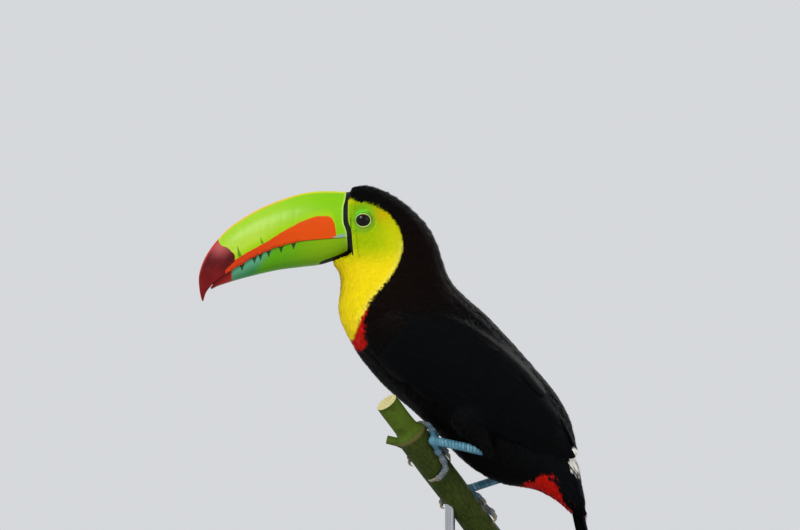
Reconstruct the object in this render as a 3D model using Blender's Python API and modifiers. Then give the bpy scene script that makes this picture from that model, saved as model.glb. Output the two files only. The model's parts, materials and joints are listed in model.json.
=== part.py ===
"""A keel-billed toucan, life size, as a still museum model.

The bird grips a cut length of green palm stem, and one rod on a round base carries the stem.
Everything is in metres, +Z up. The bird looks along -X and its left side faces -Y.
The origin is the middle of the base's underside.

The head, neck and trunk are one smooth form, given by stations from the bill to the tail. A station is
a flat ring between a point on the back line and a point on the belly line. The form is parted at two rings.
Wings, thighs and tail are shaped over the trunk and cut clear of it, so that they lie on it.
"""

import math
from collections import namedtuple

import bmesh
import bpy
from mathutils import Vector
from mathutils.bvhtree import BVHTree

MM = 0.001
GAP = 0.3 * MM  # room between two pieces that touch
LEFT, RIGHT = -1, 1

# ---------------------------------------------------------------- driving sizes, in millimetres

Station = namedtuple("Station", "name back belly half_width")
BODY = [
    Station("forehead", (-84.8, 417.2), (-97.6, 358.4), 19.8),
    Station("brow", (-72.8, 420.8), (-92.8, 352.0), 21.8),
    Station("crown", (-56.0, 415.6), (-91.2, 344.0), 24.0),
    Station("hind_crown", (-40.0, 405.6), (-91.6, 336.8), 26.5),
    Station("upper_nape", (-24.8, 390.8), (-92.8, 329.6), 29.0),
    Station("nape", (-14.4, 372.0), (-92.8, 321.6), 32.0),
    Station("lower_nape", (-7.0, 349.0), (-90.4, 311.0), 35.5),
    Station("mantle", (6.0, 333.0), (-84.0, 298.0), 39.0),
    Station("shoulder", (24.0, 317.6), (-74.4, 283.0), 41.5),
    Station("back", (44.0, 296.8), (-58.4, 263.4), 43.0),
    Station("loin", (63.2, 275.2), (-36.8, 244.4), 42.5),
    Station("lower_back", (79.2, 256.0), (-14.4, 224.0), 40.0),
    Station("hips", (89.6, 238.4), (4.6, 203.6), 35.0),
    Station("rump", (94.4, 223.2), (22.4, 190.4), 28.0),
    Station("vent", (96.8, 209.6), (42.4, 182.4), 21.0),
    Station("upper_coverts", (98.4, 196.8), (63.2, 179.6), 17.5),
    Station("lower_coverts", (100.2, 184.0), (80.8, 171.2), 14.5),
    Station("coverts_end", (104.0, 165.6), (93.6, 160.0), 10.5),
]
HEAD_ENDS_AT = 3.5  # in stations: between the hind crown and the upper nape
NECK_ENDS_AT = 6.5
RINGS_PER_STATION = 2
BODY_SIDES = 24
NARROW_BACK = 0.12  # the share by which the head's rings are narrower near the back line than near the belly
NARROW_BELLY = 0.15  # the last rings are narrower near the belly line instead

FACE_X = -83.2  # the flat face that the bill stands on
CHIN_FRONT = (-108.0, 356.9)  # the mandible's lower edge runs over the chin from here
CHIN_REAR = (FACE_X, 365.6)

BillRing = namedtuple("BillRing", "ridge edge half_width")
UPPER_BILL = [
    BillRing((-83.5, 416.0), (-83.5, 380.0), 18.4),
    BillRing((-105.6, 416.8), (-105.6, 378.4), 17.4),
    BillRing((-122.4, 414.8), (-124.0, 376.6), 16.2),
    BillRing((-139.2, 409.8), (-140.8, 372.4), 15.0),
    BillRing((-155.2, 403.2), (-156.8, 366.2), 13.6),
    BillRing((-168.8, 395.6), (-169.2, 359.2), 12.2),
    BillRing((-181.6, 386.4), (-177.6, 354.0), 10.8),
    BillRing((-192.4, 374.8), (-185.2, 349.2), 9.0),
    BillRing((-200.4, 362.8), (-191.6, 344.4), 7.0),
    BillRing((-204.8, 349.6), (-196.4, 339.6), 4.8),
    BillRing((-204.4, 337.6), (-199.6, 334.8), 2.6),
    BillRing((-202.6, 329.4), (-201.4, 328.6), 0.8),
]
LOWER_BILL = [
    BillRing((-83.5, 366.1), (-83.5, 379.7), 17.8),
    BillRing((-105.6, 358.4), (-105.6, 378.1), 16.6),
    BillRing((-122.4, 356.0), (-124.0, 376.3), 15.2),
    BillRing((-140.0, 353.8), (-140.8, 372.1), 13.6),
    BillRing((-154.4, 350.8), (-156.8, 365.9), 12.0),
    BillRing((-166.4, 347.8), (-169.2, 358.9), 10.4),
    BillRing((-175.2, 345.4), (-177.6, 353.7), 8.8),
    BillRing((-183.2, 342.9), (-185.2, 348.9), 6.8),
    BillRing((-190.0, 340.6), (-191.7, 344.0), 4.6),
    BillRing((-194.8, 338.2), (-195.6, 339.4), 2.2),
]
BILL_STEPS = 12  # faces over one half shell

EYE_PLACE = (-73.4, 15.3, 393.2)  # the left one is at -Y
EYE_RADIUS = 8.5

WingRing = namedtuple("WingRing", "middle half_height thickness")
WING = [
    WingRing((-69.0, 307.0), 4.0, 1.2),
    WingRing((-61.0, 305.0), 15.0, 2.6),
    WingRing((-44.0, 299.2), 25.5, 4.2),
    WingRing((-20.0, 289.6), 32.0, 5.2),
    WingRing((5.6, 274.4), 33.5, 5.6),
    WingRing((36.0, 253.6), 30.0, 5.4),
    WingRing((61.6, 234.4), 22.5, 4.8),
    WingRing((80.8, 219.2), 13.5, 4.0),
    WingRing((97.0, 205.0), 2.5, 2.4),
]
WING_SLOPE = math.radians(33.5)  # the wing's own line falls this much towards the tail
WING_RINGS, WING_ROWS = 16, 10
WING_LEAST_OUT = 11.0  # the wing's outer face stays this far from the bird's middle plane
WING_DEPTH = 14.0  # cut back to the trunk afterwards

TailRing = namedtuple("TailRing", "middle half_width half_thickness")
TAIL = [
    TailRing((92.0, 186.0), 9.0, 4.0),
    TailRing((97.5, 165.0), 14.0, 4.6),
    TailRing((103.0, 142.0), 18.5, 4.4),
    TailRing((109.5, 112.0), 22.0, 3.8),
    TailRing((117.0, 76.0), 24.5, 3.0),
    TailRing((121.5, 54.0), 24.0, 2.4),
    TailRing((124.5, 39.5), 19.0, 2.0),
    TailRing((126.3, 31.0), 10.0, 1.6),
]
TAIL_ARCH = 3.0  # the tail's edges lie this much below its middle

STEM_MIDDLE = (-8.4, -3.0, 186.0)
STEM_LINE = (0.59, 0.40, -0.80)  # down, towards the tail and away to the bird's right
STEM_TOP, STEM_NODE, STEM_FOOT = -84.0, -52.0, 82.0  # along that line from the middle
STEM_RADIUS_ABOVE, STEM_RADIUS_UNDER, STEM_RADIUS_FOOT = 9.2, 13.0, 11.6
STEM_SIDES = 16
SHOOT_AT, SHOOT_ANGLE, SHOOT_LENGTH, SHOOT_RADIUS = -44.0, 178.0, 17.0, 3.4

# A toe's route over the stem: how far along the stem, in millimetres, and how far round it, in degrees.
# 0 degrees faces the bird and 90 degrees its left side. The last place is the claw's tip.
Foot = namedtuple("Foot", "ball knee heel toes")
FEET = {
    "left": Foot(
        ball=(-38.4, 46.0),
        knee=(7.0, -33.0, 243.0),
        heel=(25.6, -38.0, 209.6),
        toes={
            1: [(-30.0, 27.0), (-21.0, 24.0), (-11.0, 32.0)],
            2: [(-43.0, 0.0), (-46.5, -50.0), (-46.0, -104.0), (-43.0, -142.0)],
            3: [(-37.0, 0.0), (-34.0, -52.0), (-31.0, -108.0), (-28.5, -142.0), (-25.0, -178.0)],
            4: [(-28.0, 52.0), (-19.5, 56.0), (-13.5, 68.0), (-11.2, 88.0), (-11.5, 108.0), (-12.5, 140.0)],
        },
    ),
    "right": Foot(
        ball=(24.9, -54.0),
        knee=(28.0, 30.0, 231.0),
        heel=(50.0, 29.0, 190.0),
        toes={
            1: [(31.0, -34.0), (36.0, -12.0), (38.0, 20.0)],
            2: [(19.5, -86.0), (17.5, -120.0), (18.5, -150.0), (20.5, -186.0)],
            3: [(27.0, -88.0), (30.0, -124.0), (31.5, -158.0), (33.5, -196.0)],
            4: [(35.0, -50.0), (43.0, -34.0), (49.0, -8.0), (51.0, 14.0), (52.0, 42.0)],
        },
    ),
}
BALL_RADIUS = 4.1
TOE_RADIUS, TOE_TIP_RADIUS = 2.75, 2.2
CLAW_RADIUS, CLAW_TIP_RADIUS = 2.0, 0.4
TARSUS_RADIUS, TARSUS_HEEL_RADIUS = 3.3, 3.7
THIGH_RADII = (3.0, 11.5, 15.0, 13.5, 9.5, 6.2, 4.6)  # evenly spaced from above the knee to the heel
THIGH_FROM, THIGH_TO = -0.22, 1.04  # shares of the way from the knee to the heel

BASE_RADIUS, BASE_HEIGHT, BASE_BEVEL = 86.0, 16.0, 4.0
BASE_SIDES = 32
ROD_RADIUS, ROD_AT_STEM = 4.0, 8.0
ROD_IN_STEM, ROD_IN_BASE = 9.0, 10.0
ROD_SIDES = 24


# ---------------------------------------------------------------- materials and objects


def clear_scene():
    for thing in list(bpy.data.objects):
        bpy.data.objects.remove(thing)


def material(name, colour, roughness, metallic=0.0):
    made = bpy.data.materials.new(name)
    made.use_nodes = True
    shader = made.node_tree.nodes["Principled BSDF"]
    shader.inputs["Base Color"].default_value = (*colour, 1.0)
    shader.inputs["Roughness"].default_value = roughness
    shader.inputs["Metallic"].default_value = metallic
    made.diffuse_color = (*colour, 1.0)
    return made


def new_collection(name):
    made = bpy.data.collections.new(name)
    bpy.context.scene.collection.children.link(made)
    return made


def add_object(name, mesh, finish=None, helper=False):
    """A part goes in the bird's collection. A helper, such as a cutter, isn't a part."""
    made = bpy.data.objects.new(name, mesh)
    (HELPERS if helper else PARTS).objects.link(made)
    if helper:
        made.hide_render = True
        made.display_type = "WIRE"
    if finish:
        mesh.materials.clear()
        mesh.materials.append(finish)
    return made


def finish_mesh(name, bm):
    bmesh.ops.recalc_face_normals(bm, faces=bm.faces)
    mesh = bpy.data.meshes.new(name)
    bm.to_mesh(mesh)
    bm.free()
    mesh.shade_smooth()
    mesh.set_sharp_from_angle(angle=math.radians(40))
    return mesh


def loft(name, rings):
    """A closed mesh through rings with the same number of points, flat at both ends."""
    bm = bmesh.new()
    rows = [[bm.verts.new(point) for point in ring] for ring in rings]
    count = len(rows[0])
    for row, following in zip(rows, rows[1:]):
        for i in range(count):
            j = (i + 1) % count
            bm.faces.new((row[i], row[j], following[j], following[i]))
    bm.faces.new(rows[0])
    bm.faces.new(rows[-1])
    return finish_mesh(name, bm)


def boolean(target, tool, operation):
    modifier = target.modifiers.new(operation.lower(), "BOOLEAN")
    modifier.operation = operation
    modifier.object = tool
    modifier.solver = "EXACT"


def settle(made):
    """Turns an object's modifiers into its own mesh, so that another Boolean can use it."""
    graph = bpy.context.evaluated_depsgraph_get()
    mesh = bpy.data.meshes.new_from_object(made.evaluated_get(graph), depsgraph=graph)
    made.modifiers.clear()
    made.data = mesh
    return made


# ---------------------------------------------------------------- curves through named places


def spline(values, position):
    """The value at a position among evenly spaced values, on a smooth curve through all of them."""
    last = len(values) - 1
    i = min(int(position), last - 1)
    t = position - i
    before = values[i] if i == 0 else values[i - 1]
    after = values[last] if i + 2 > last else values[i + 2]
    start, end = values[i], values[i + 1]
    return 0.5 * (
        2 * start
        + (end - before) * t
        + (2 * before - 5 * start + 4 * end - after) * t * t
        + (3 * start - before - 3 * end + after) * t**3
    )


def spline_pair(pairs, position):
    return Vector(spline([pair[k] for pair in pairs], position) for k in (0, 1))


def positions(first, last, steps):
    return [first + (last - first) * i / steps for i in range(steps + 1)]


# ---------------------------------------------------------------- head, neck and trunk


def body_ring(position, grow=0.0, shift=0.0):
    """One flat ring of the body. grow makes it fatter and shift moves it along the body, in millimetres."""
    back = spline_pair([s.back for s in BODY], position)
    belly = spline_pair([s.belly for s in BODY], position)
    half_width = spline([s.half_width for s in BODY], position) + grow
    middle, up = (back + belly) / 2, (back - belly) / 2
    up *= (up.length + grow) / up.length
    along = Vector((up.y, -up.x)).normalized()
    middle += along * shift
    narrow = NARROW_BACK - (NARROW_BACK + NARROW_BELLY) * position / (len(BODY) - 1)
    ring = []
    for i in range(BODY_SIDES):
        angle = 2 * math.pi * i / BODY_SIDES
        place = middle + up * math.cos(angle)
        width = half_width * math.sin(angle) * (1 - narrow * math.cos(angle))
        ring.append(Vector((place.x, width, place.y)) * MM)
    return ring


def body_length(name, first, last, grow=0.0, shift=0.0):
    steps = max(2, round((last - first) * RINGS_PER_STATION))
    rings = [body_ring(p, grow) for p in positions(first, last, steps)]
    if shift:
        rings[0] = body_ring(first, grow, shift)
    return loft(name, rings)


def bill_clearance():
    """A block in front of the face and over the chin, which keeps the head off the bill."""
    front, top, wide = -160.0, 440.0, 40.0
    outline = [
        (front, top),
        (FACE_X, top),
        (CHIN_REAR[0], CHIN_REAR[1]),
        (CHIN_FRONT[0], CHIN_FRONT[1]),
        (front, CHIN_FRONT[1] - 18.0),
    ]
    rings = [[Vector((x, y, z)) * MM for x, z in outline] for y in (-wide, wide)]
    return add_object("bill_clearance", loft("bill_clearance", rings), helper=True)


def ball(name, centre, radius, segments, finish=None, helper=False):
    bm = bmesh.new()
    bmesh.ops.create_uvsphere(bm, u_segments=segments, v_segments=segments // 2, radius=radius * MM)
    mesh = finish_mesh(name, bm)
    made = add_object(name, mesh, finish, helper)
    made.location = Vector(centre) * MM
    return made


def make_head():
    head = add_object("head", body_length("head", 0, HEAD_ENDS_AT), YELLOW_FEATHERS)
    boolean(head, bill_clearance(), "DIFFERENCE")
    for side, word in ((LEFT, "left"), (RIGHT, "right")):
        centre = (EYE_PLACE[0], side * EYE_PLACE[1], EYE_PLACE[2])
        eye = ball(f"eye_{word}", centre, EYE_RADIUS, 16, EYE)
        eye.rotation_euler.x = math.pi / 2
        socket = ball(f"socket_{word}", centre, EYE_RADIUS + GAP / MM, 16, helper=True)
        socket.rotation_euler.x = math.pi / 2
        boolean(head, socket, "DIFFERENCE")


def make_neck_and_trunk():
    gap = GAP / MM
    add_object("neck", body_length("neck", HEAD_ENDS_AT, NECK_ENDS_AT, shift=gap), BLACK_FEATHERS)
    last = len(BODY) - 1
    trunk = body_length("trunk", NECK_ENDS_AT, last, shift=gap)
    add_object("trunk", trunk, BLACK_FEATHERS)
    whole = body_length("body_clearance", 0, last, grow=gap)
    return add_object("body_clearance", whole, helper=True)


# ---------------------------------------------------------------- bill


def bill_half(name, rings, keel, finish):
    """One mandible: a half round shell from cutting edge over the ridge to the other edge, solid, with
    a flat inner face. keel pinches the ridge, and 0 leaves it round."""
    count = len(rings)
    made = []
    for position in positions(0, count - 1, 2 * (count - 1)):
        ridge = spline_pair([r.ridge for r in rings], position)
        edge = spline_pair([r.edge for r in rings], position)
        half_width = max(0.5, spline([r.half_width for r in rings], position))
        ring = []
        for step in range(BILL_STEPS + 1):
            angle = math.pi * step / BILL_STEPS
            rise = math.sin(angle)
            out = math.cos(angle) * (1 - keel * rise**6)
            place = edge + (ridge - edge) * rise
            ring.append(Vector((place.x, half_width * out, place.y)) * MM)
        made.append(ring)
    return add_object(name, loft(name, made), finish)


# ---------------------------------------------------------------- wings and tail


def trunk_surface():
    mesh = body_length("trunk_surface", 0, len(BODY) - 1)
    points = [v.co.copy() for v in mesh.vertices]
    faces = [tuple(p.vertices) for p in mesh.polygons]
    bpy.data.meshes.remove(mesh)
    return BVHTree.FromPolygons(points, faces)


def body_side_at(surface, x, z):
    """Half the body's width at a place seen from the side, or 0 outside its outline."""
    far = 0.2
    hit = surface.ray_cast(Vector((x * MM, -far, z * MM)), Vector((0, 1, 0)))[0]
    return -hit.y / MM if hit else 0.0


def wing_rings(side, surface, grow=0.0):
    """Closed rings across the wing. The outer row follows the body at the wing's thickness, and the inner
    row lies inside the body."""
    across = Vector((math.sin(WING_SLOPE), math.cos(WING_SLOPE)))
    rings = []
    for position in positions(0, len(WING) - 1, WING_RINGS):
        middle = spline_pair([w.middle for w in WING], position)
        half_height = spline([w.half_height for w in WING], position) + grow
        thickness = spline([w.thickness for w in WING], position) + grow
        outer, inner = [], []
        for share in positions(-1, 1, WING_ROWS):
            place = middle + across * half_height * math.sin(share * math.pi / 2)
            rise = 0.28 + 0.72 * (1 - share * share) ** 0.5
            out = max(body_side_at(surface, *place), WING_LEAST_OUT) + thickness * rise
            deep = max(out - WING_DEPTH, 1.0)
            outer.append(Vector((place.x, side * out, place.y)) * MM)
            inner.append(Vector((place.x, side * deep, place.y)) * MM)
        rings.append(outer + inner[::-1])
    return rings


def make_wings(clearance, surface):
    for side, word in ((LEFT, "left"), (RIGHT, "right")):
        name = f"wing_{word}"
        wing = add_object(name, loft(name, wing_rings(side, surface)), BLACK_FEATHERS)
        boolean(wing, clearance, "DIFFERENCE")


def tail_ring(position, grow=0.0):
    middle = spline_pair([t.middle for t in TAIL], position)
    half_width = spline([t.half_width for t in TAIL], position) + grow
    half_thickness = spline([t.half_thickness for t in TAIL], position) + grow
    step = 0.05
    first, last = max(position - step, 0), min(position + step, len(TAIL) - 1)
    line = spline_pair([t.middle for t in TAIL], last) - spline_pair([t.middle for t in TAIL], first)
    back = Vector((-line.y, line.x)).normalized()
    ring = []
    sides = 16
    for i in range(sides):
        angle = 2 * math.pi * i / sides
        across = math.copysign(abs(math.cos(angle)) ** 0.8, math.cos(angle))
        lift = half_thickness * math.sin(angle) - TAIL_ARCH * across * across
        place = middle + back * lift
        ring.append(Vector((place.x, half_width * across, place.y)) * MM)
    return ring


def make_tail(clearance):
    rings = [tail_ring(p) for p in positions(0, len(TAIL) - 1, 2 * (len(TAIL) - 1))]
    tail = add_object("tail", loft("tail", rings), BLACK_FEATHERS)
    boolean(tail, clearance, "DIFFERENCE")


# ---------------------------------------------------------------- the stem


def stem_axes():
    """The stem's line, the way from it to the bird, and the way from it to the bird's left."""
    line = Vector(STEM_LINE).normalized()
    to_bird = Vector((-line.z, 0, line.x)).normalized()
    return line, to_bird, line.cross(to_bird)


def stem_radius(along):
    """The stem swells under its node, has a low ring at it, and is slimmer above."""
    under = (along - STEM_NODE) / (STEM_FOOT - STEM_NODE)
    thick = STEM_RADIUS_UNDER + (STEM_RADIUS_FOOT - STEM_RADIUS_UNDER) * max(under, 0) ** 0.7
    step = 1 / (1 + math.exp(-(along - STEM_NODE) / 1.6))
    ring = 1.1 * math.exp(-(((along - STEM_NODE - 2.0) / 1.8) ** 2))
    return STEM_RADIUS_ABOVE + (thick - STEM_RADIUS_ABOVE) * step + ring


def on_stem(along, angle, height):
    """A place at a height over the stem's surface, in metres."""
    line, to_bird, to_left = stem_axes()
    turned = math.radians(angle)
    out = to_bird * math.cos(turned) + to_left * math.sin(turned)
    return (Vector(STEM_MIDDLE) + line * along + out * (stem_radius(along) + height)) * MM


def stem_places():
    near_node = [STEM_NODE + step for step in (-5.0, -3.0, -1.5, 0.0, 1.5, 3.0, 5.0, 8.0)]
    above = positions(STEM_TOP, STEM_NODE - 10.0, 2)
    return above + near_node + positions(STEM_NODE + 18.0, STEM_FOOT, 7)


def make_stem():
    rings = []
    for along in stem_places():
        rings.append([on_stem(along, 360.0 * i / STEM_SIDES, 0) for i in range(STEM_SIDES)])
    stem = add_object("perch_stem", loft("perch_stem", rings), GREEN_STEM)
    start = on_stem(SHOOT_AT, SHOOT_ANGLE, -6.0)
    lean = Vector((-0.30, 0.10, 0.95)).normalized()
    outward = (on_stem(SHOOT_AT, SHOOT_ANGLE, 10.0) - start).normalized()
    end = start + (outward + lean * 0.9).normalized() * (SHOOT_LENGTH + 6.0) * MM
    shoot = tube("cut_shoot", [start, end], [SHOOT_RADIUS * 1.2, SHOOT_RADIUS], 12, helper=True)
    boolean(stem, shoot, "UNION")
    settle(stem)
    return stem


# ---------------------------------------------------------------- legs and feet


def tube(name, places, radii, sides, finish=None, helper=False, grow=0.0):
    """A round bar along places in metres, with its own radius in millimetres at each, as a closed mesh."""
    curve = bpy.data.curves.new(name, "CURVE")
    curve.dimensions = "3D"
    curve.use_fill_caps = True
    curve.bevel_depth = MM
    curve.bevel_resolution = max(0, sides // 4 - 1)
    path = curve.splines.new("POLY")
    path.points.add(len(places) - 1)
    for point, place, radius in zip(path.points, places, radii):
        point.co = (*place, 1.0)
        point.radius = radius + grow
    bar = bpy.data.objects.new(f"{name}_curve", curve)
    bpy.context.scene.collection.objects.link(bar)
    graph = bpy.context.evaluated_depsgraph_get()
    mesh = bpy.data.meshes.new_from_object(bar.evaluated_get(graph), depsgraph=graph)
    bpy.data.objects.remove(bar)
    bm = bmesh.new()
    bm.from_mesh(mesh)
    bmesh.ops.remove_doubles(bm, verts=bm.verts, dist=1e-6)
    bpy.data.meshes.remove(mesh)
    return add_object(name, finish_mesh(name, bm), finish, helper)


def over_stem(places, steps):
    """A smooth line in metres through places given as (along, angle, height) over the stem's surface."""
    last = len(places) - 1
    return [
        on_stem(*(spline([place[k] for place in places], position) for k in range(3)))
        for position in positions(0, last, steps * last)
    ]


def toe_route(ball_place, route):
    """(the toe's line, the claw's line) in metres: the last place of the route is the claw's tip."""
    lift = GAP / MM + TOE_RADIUS
    places = [(*ball_place, lift + 0.9)] + [(*place, lift) for place in route[:-1]]
    toe = over_stem(places, 4)
    knuckle, tip = route[-2], route[-1]
    halfway = [(knuckle[k] + tip[k]) / 2 for k in (0, 1)]
    claw_places = [
        (*knuckle, lift - 0.2),
        (*halfway, lift + 0.3),
        (*tip, GAP / MM + CLAW_TIP_RADIUS),
    ]
    return toe, over_stem(claw_places, 3)


def even(first, last, count):
    return [first + (last - first) * i / (count - 1) for i in range(count)]


def make_foot(word, foot):
    """The ball and its four toes as one solid, two toes to the front and two to the back. It gives back
    the ball's place, and the toes as helpers that are a gap wider, to cut other pieces with."""
    ball_place = on_stem(*foot.ball, BALL_RADIUS + GAP / MM)
    name = f"foot_{word}"
    made = ball(name, ball_place / MM, BALL_RADIUS, 12, BLUE_SKIN)
    rooms = []
    for digit, route in foot.toes.items():
        toe, claw = toe_route(foot.ball, route)
        radii = even(TOE_RADIUS, TOE_TIP_RADIUS, len(toe))
        bar = tube(f"toe_{word}_{digit}", toe, radii, 8, helper=True)
        boolean(made, bar, "UNION")
        room = tube(f"toe_room_{word}_{digit}", toe, radii, 8, helper=True, grow=GAP / MM)
        end = ball(f"toe_end_{word}_{digit}", toe[-1] / MM, TOE_TIP_RADIUS + GAP / MM, 12, helper=True)
        rooms.append(room)
        claw_radii = even(CLAW_RADIUS, CLAW_TIP_RADIUS, len(claw))
        horn = tube(f"claw_{word}_{digit}", claw, claw_radii, 8, CLAW_HORN)
        boolean(horn, end, "DIFFERENCE")
        boolean(horn, room, "DIFFERENCE")
    return ball_place, rooms


def make_leg(word, foot, clearance, surface):
    side = LEFT if word == "left" else RIGHT
    ball_place, toe_rooms = make_foot(word, foot)
    heel = Vector(foot.heel) * MM
    shank_line = [ball_place + (heel - ball_place) * share for share in (0.0, 0.12, 0.5, 0.9, 1.0)]
    radii = [TARSUS_RADIUS + 0.4, TARSUS_RADIUS, TARSUS_RADIUS, TARSUS_HEEL_RADIUS, TARSUS_HEEL_RADIUS - 1.0]
    shank = tube(f"shank_{word}", shank_line, radii, 12, BLUE_SKIN)
    round_foot = ball(f"ball_clearance_{word}", ball_place / MM, BALL_RADIUS + GAP / MM, 12, helper=True)
    boolean(shank, round_foot, "DIFFERENCE")
    for room in toe_rooms:
        boolean(shank, room, "DIFFERENCE")
    boolean(shank, clearance, "DIFFERENCE")
    knee = Vector(foot.knee) * MM
    last = len(THIGH_RADII) - 1
    shares = positions(THIGH_FROM, THIGH_TO, last * 2)
    places = [knee + (heel - knee) * share for share in shares]
    radii_there = [spline(THIGH_RADII, position) for position in positions(0, last, last * 2)]
    thigh = tube(f"thigh_{word}", places, radii_there, 12, BLACK_FEATHERS)
    boolean(thigh, clearance, "DIFFERENCE")
    wing_room = loft(f"wing_room_{word}", wing_rings(side, surface, grow=GAP / MM))
    boolean(thigh, add_object(f"wing_room_{word}", wing_room, helper=True), "DIFFERENCE")
    shank_room = tube(f"shank_room_{word}", shank_line, radii, 12, helper=True, grow=GAP / MM)
    boolean(thigh, shank_room, "DIFFERENCE")


# ---------------------------------------------------------------- the stand


def cylinder(name, radius, bottom, top, x, y, sides, finish=None, helper=False):
    bm = bmesh.new()
    size = (top - bottom) * MM
    bmesh.ops.create_cone(
        bm, cap_ends=True, segments=sides, radius1=radius * MM, radius2=radius * MM, depth=size
    )
    made = add_object(name, finish_mesh(name, bm), finish, helper)
    made.location = Vector((x, y, (bottom + top) / 2)) * MM
    return made


def make_stand(stem):
    """A turned base, and one rod that is let into the base and into the stem from below."""
    line, _, _ = stem_axes()
    place = Vector(STEM_MIDDLE) + line * ROD_AT_STEM
    gap = GAP / MM
    base = cylinder("stand_base", BASE_RADIUS, 0, BASE_HEIGHT, 0, 0, BASE_SIDES, DARK_WOOD)
    edge = base.modifiers.new("edge", "BEVEL")
    edge.width = BASE_BEVEL * MM
    edge.segments = 2
    edge.limit_method = "ANGLE"
    edge.angle_limit = math.radians(60)
    foot = BASE_HEIGHT - ROD_IN_BASE
    hole = cylinder("base_hole", ROD_RADIUS + gap, foot, BASE_HEIGHT + 8, place.x, place.y, ROD_SIDES, helper=True)
    boolean(base, hole, "DIFFERENCE")
    under = place.z - stem_radius(ROD_AT_STEM) / math.sin(math.acos(abs(line.z)))
    top = under + ROD_IN_STEM
    cylinder("stand_rod", ROD_RADIUS, foot + gap, top, place.x, place.y, ROD_SIDES, STEEL)
    socket = cylinder(
        "stem_hole", ROD_RADIUS + gap, under - 20, top + gap, place.x, place.y, ROD_SIDES, helper=True
    )
    boolean(stem, socket, "DIFFERENCE")


clear_scene()
PARTS = new_collection("keel_billed_toucan")
HELPERS = new_collection("helpers")
YELLOW_FEATHERS = material("yellow_feathers", (0.86, 0.72, 0.02), 0.75)
BLACK_FEATHERS = material("black_feathers", (0.012, 0.012, 0.014), 0.6)
EYE = material("eye", (0.01, 0.008, 0.006), 0.08)
GREEN_BILL = material("green_bill", (0.30, 0.60, 0.03), 0.3)
BLUE_SKIN = material("blue_skin", (0.16, 0.36, 0.46), 0.55)
CLAW_HORN = material("claw_horn", (0.20, 0.18, 0.13), 0.4)
GREEN_STEM = material("green_stem", (0.12, 0.20, 0.03), 0.5)
DARK_WOOD = material("dark_wood", (0.06, 0.035, 0.02), 0.4)
STEEL = material("steel", (0.55, 0.55, 0.56), 0.3, metallic=1.0)

make_head()
body_clearance = make_neck_and_trunk()
bill_half("bill_upper", UPPER_BILL, 0.22, GREEN_BILL)
bill_half("bill_lower", LOWER_BILL, 0.0, GREEN_BILL)
side_surface = trunk_surface()
make_wings(body_clearance, side_surface)
make_tail(body_clearance)
perch = make_stem()
for leg, shape in FEET.items():
    make_leg(leg, shape, body_clearance, side_surface)
make_stand(perch)
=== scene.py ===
# %% [markdown]
# # A keel-billed toucan on a stand
#
# This lesson dresses a still, life-size toucan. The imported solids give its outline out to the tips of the
# feathers, so they are the frame: each piece here is fitted to them, and none is placed by eye. The order
# is skin, feathers, bill, eyes, feet, perch and stand, then light and camera.

# %% Load the frame
import json
import math
from functools import partialmethod

import bmesh
import bpy
import numpy as np
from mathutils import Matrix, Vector
from mathutils.bvhtree import BVHTree
from mathutils.kdtree import KDTree

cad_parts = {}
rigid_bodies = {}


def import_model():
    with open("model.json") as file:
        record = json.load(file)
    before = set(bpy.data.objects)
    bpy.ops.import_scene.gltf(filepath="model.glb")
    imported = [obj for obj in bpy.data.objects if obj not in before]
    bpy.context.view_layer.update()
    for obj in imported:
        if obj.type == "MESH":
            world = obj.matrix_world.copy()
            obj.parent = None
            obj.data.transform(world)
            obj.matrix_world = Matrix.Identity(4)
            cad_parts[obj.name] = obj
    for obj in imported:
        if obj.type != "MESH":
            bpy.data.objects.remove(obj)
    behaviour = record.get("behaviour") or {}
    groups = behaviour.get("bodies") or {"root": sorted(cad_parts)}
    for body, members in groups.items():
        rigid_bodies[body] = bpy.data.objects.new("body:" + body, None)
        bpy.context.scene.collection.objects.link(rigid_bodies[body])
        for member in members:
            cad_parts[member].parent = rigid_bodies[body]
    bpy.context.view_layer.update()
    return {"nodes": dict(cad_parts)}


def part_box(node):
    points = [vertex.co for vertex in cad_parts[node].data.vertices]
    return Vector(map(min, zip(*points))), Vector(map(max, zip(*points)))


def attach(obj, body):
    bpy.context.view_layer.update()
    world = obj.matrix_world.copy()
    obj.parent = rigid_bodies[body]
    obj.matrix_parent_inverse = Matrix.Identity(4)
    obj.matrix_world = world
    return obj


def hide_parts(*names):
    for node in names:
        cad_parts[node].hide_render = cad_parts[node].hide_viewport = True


for thing in list(bpy.data.objects):
    bpy.data.objects.remove(thing)
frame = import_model()
nodes = frame["nodes"]
MM = 0.001
chance = np.random.default_rng(11)


# %% [markdown]
# ## Helpers that every step uses
#
# A piece is a mesh object that rides on the still body, may stand in for some of the solids, and has one
# finish. Large meshes are filled from arrays, because adding faces one at a time is slow.


# %% Pieces from arrays
def mesh_from(points, faces):
    """A mesh from an array of points and an array of faces with the same number of corners."""
    points = np.asarray(points, np.float32)
    faces = np.asarray(faces, np.int32)
    mesh = bpy.data.meshes.new("made")
    mesh.vertices.add(len(points))
    mesh.vertices.foreach_set("co", points.ravel())
    mesh.loops.add(faces.size)
    mesh.loops.foreach_set("vertex_index", faces.ravel())
    mesh.polygons.add(len(faces))
    mesh.polygons.foreach_set("loop_start", np.arange(0, faces.size, faces.shape[1], dtype=np.int32))
    mesh.update(calc_edges=True)
    mesh.shade_smooth()
    return mesh


def strip_faces(rows, count, round_about=False):
    """Squares between neighbouring rows of points. round_about joins each row's end to its start."""
    j = np.arange(count if round_about else count - 1)
    i = np.arange(rows - 1)[:, None] * count
    after = (j + 1) % count
    return np.stack([i + j, i + after, i + count + after, i + count + j], 2).reshape(-1, 4)


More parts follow.
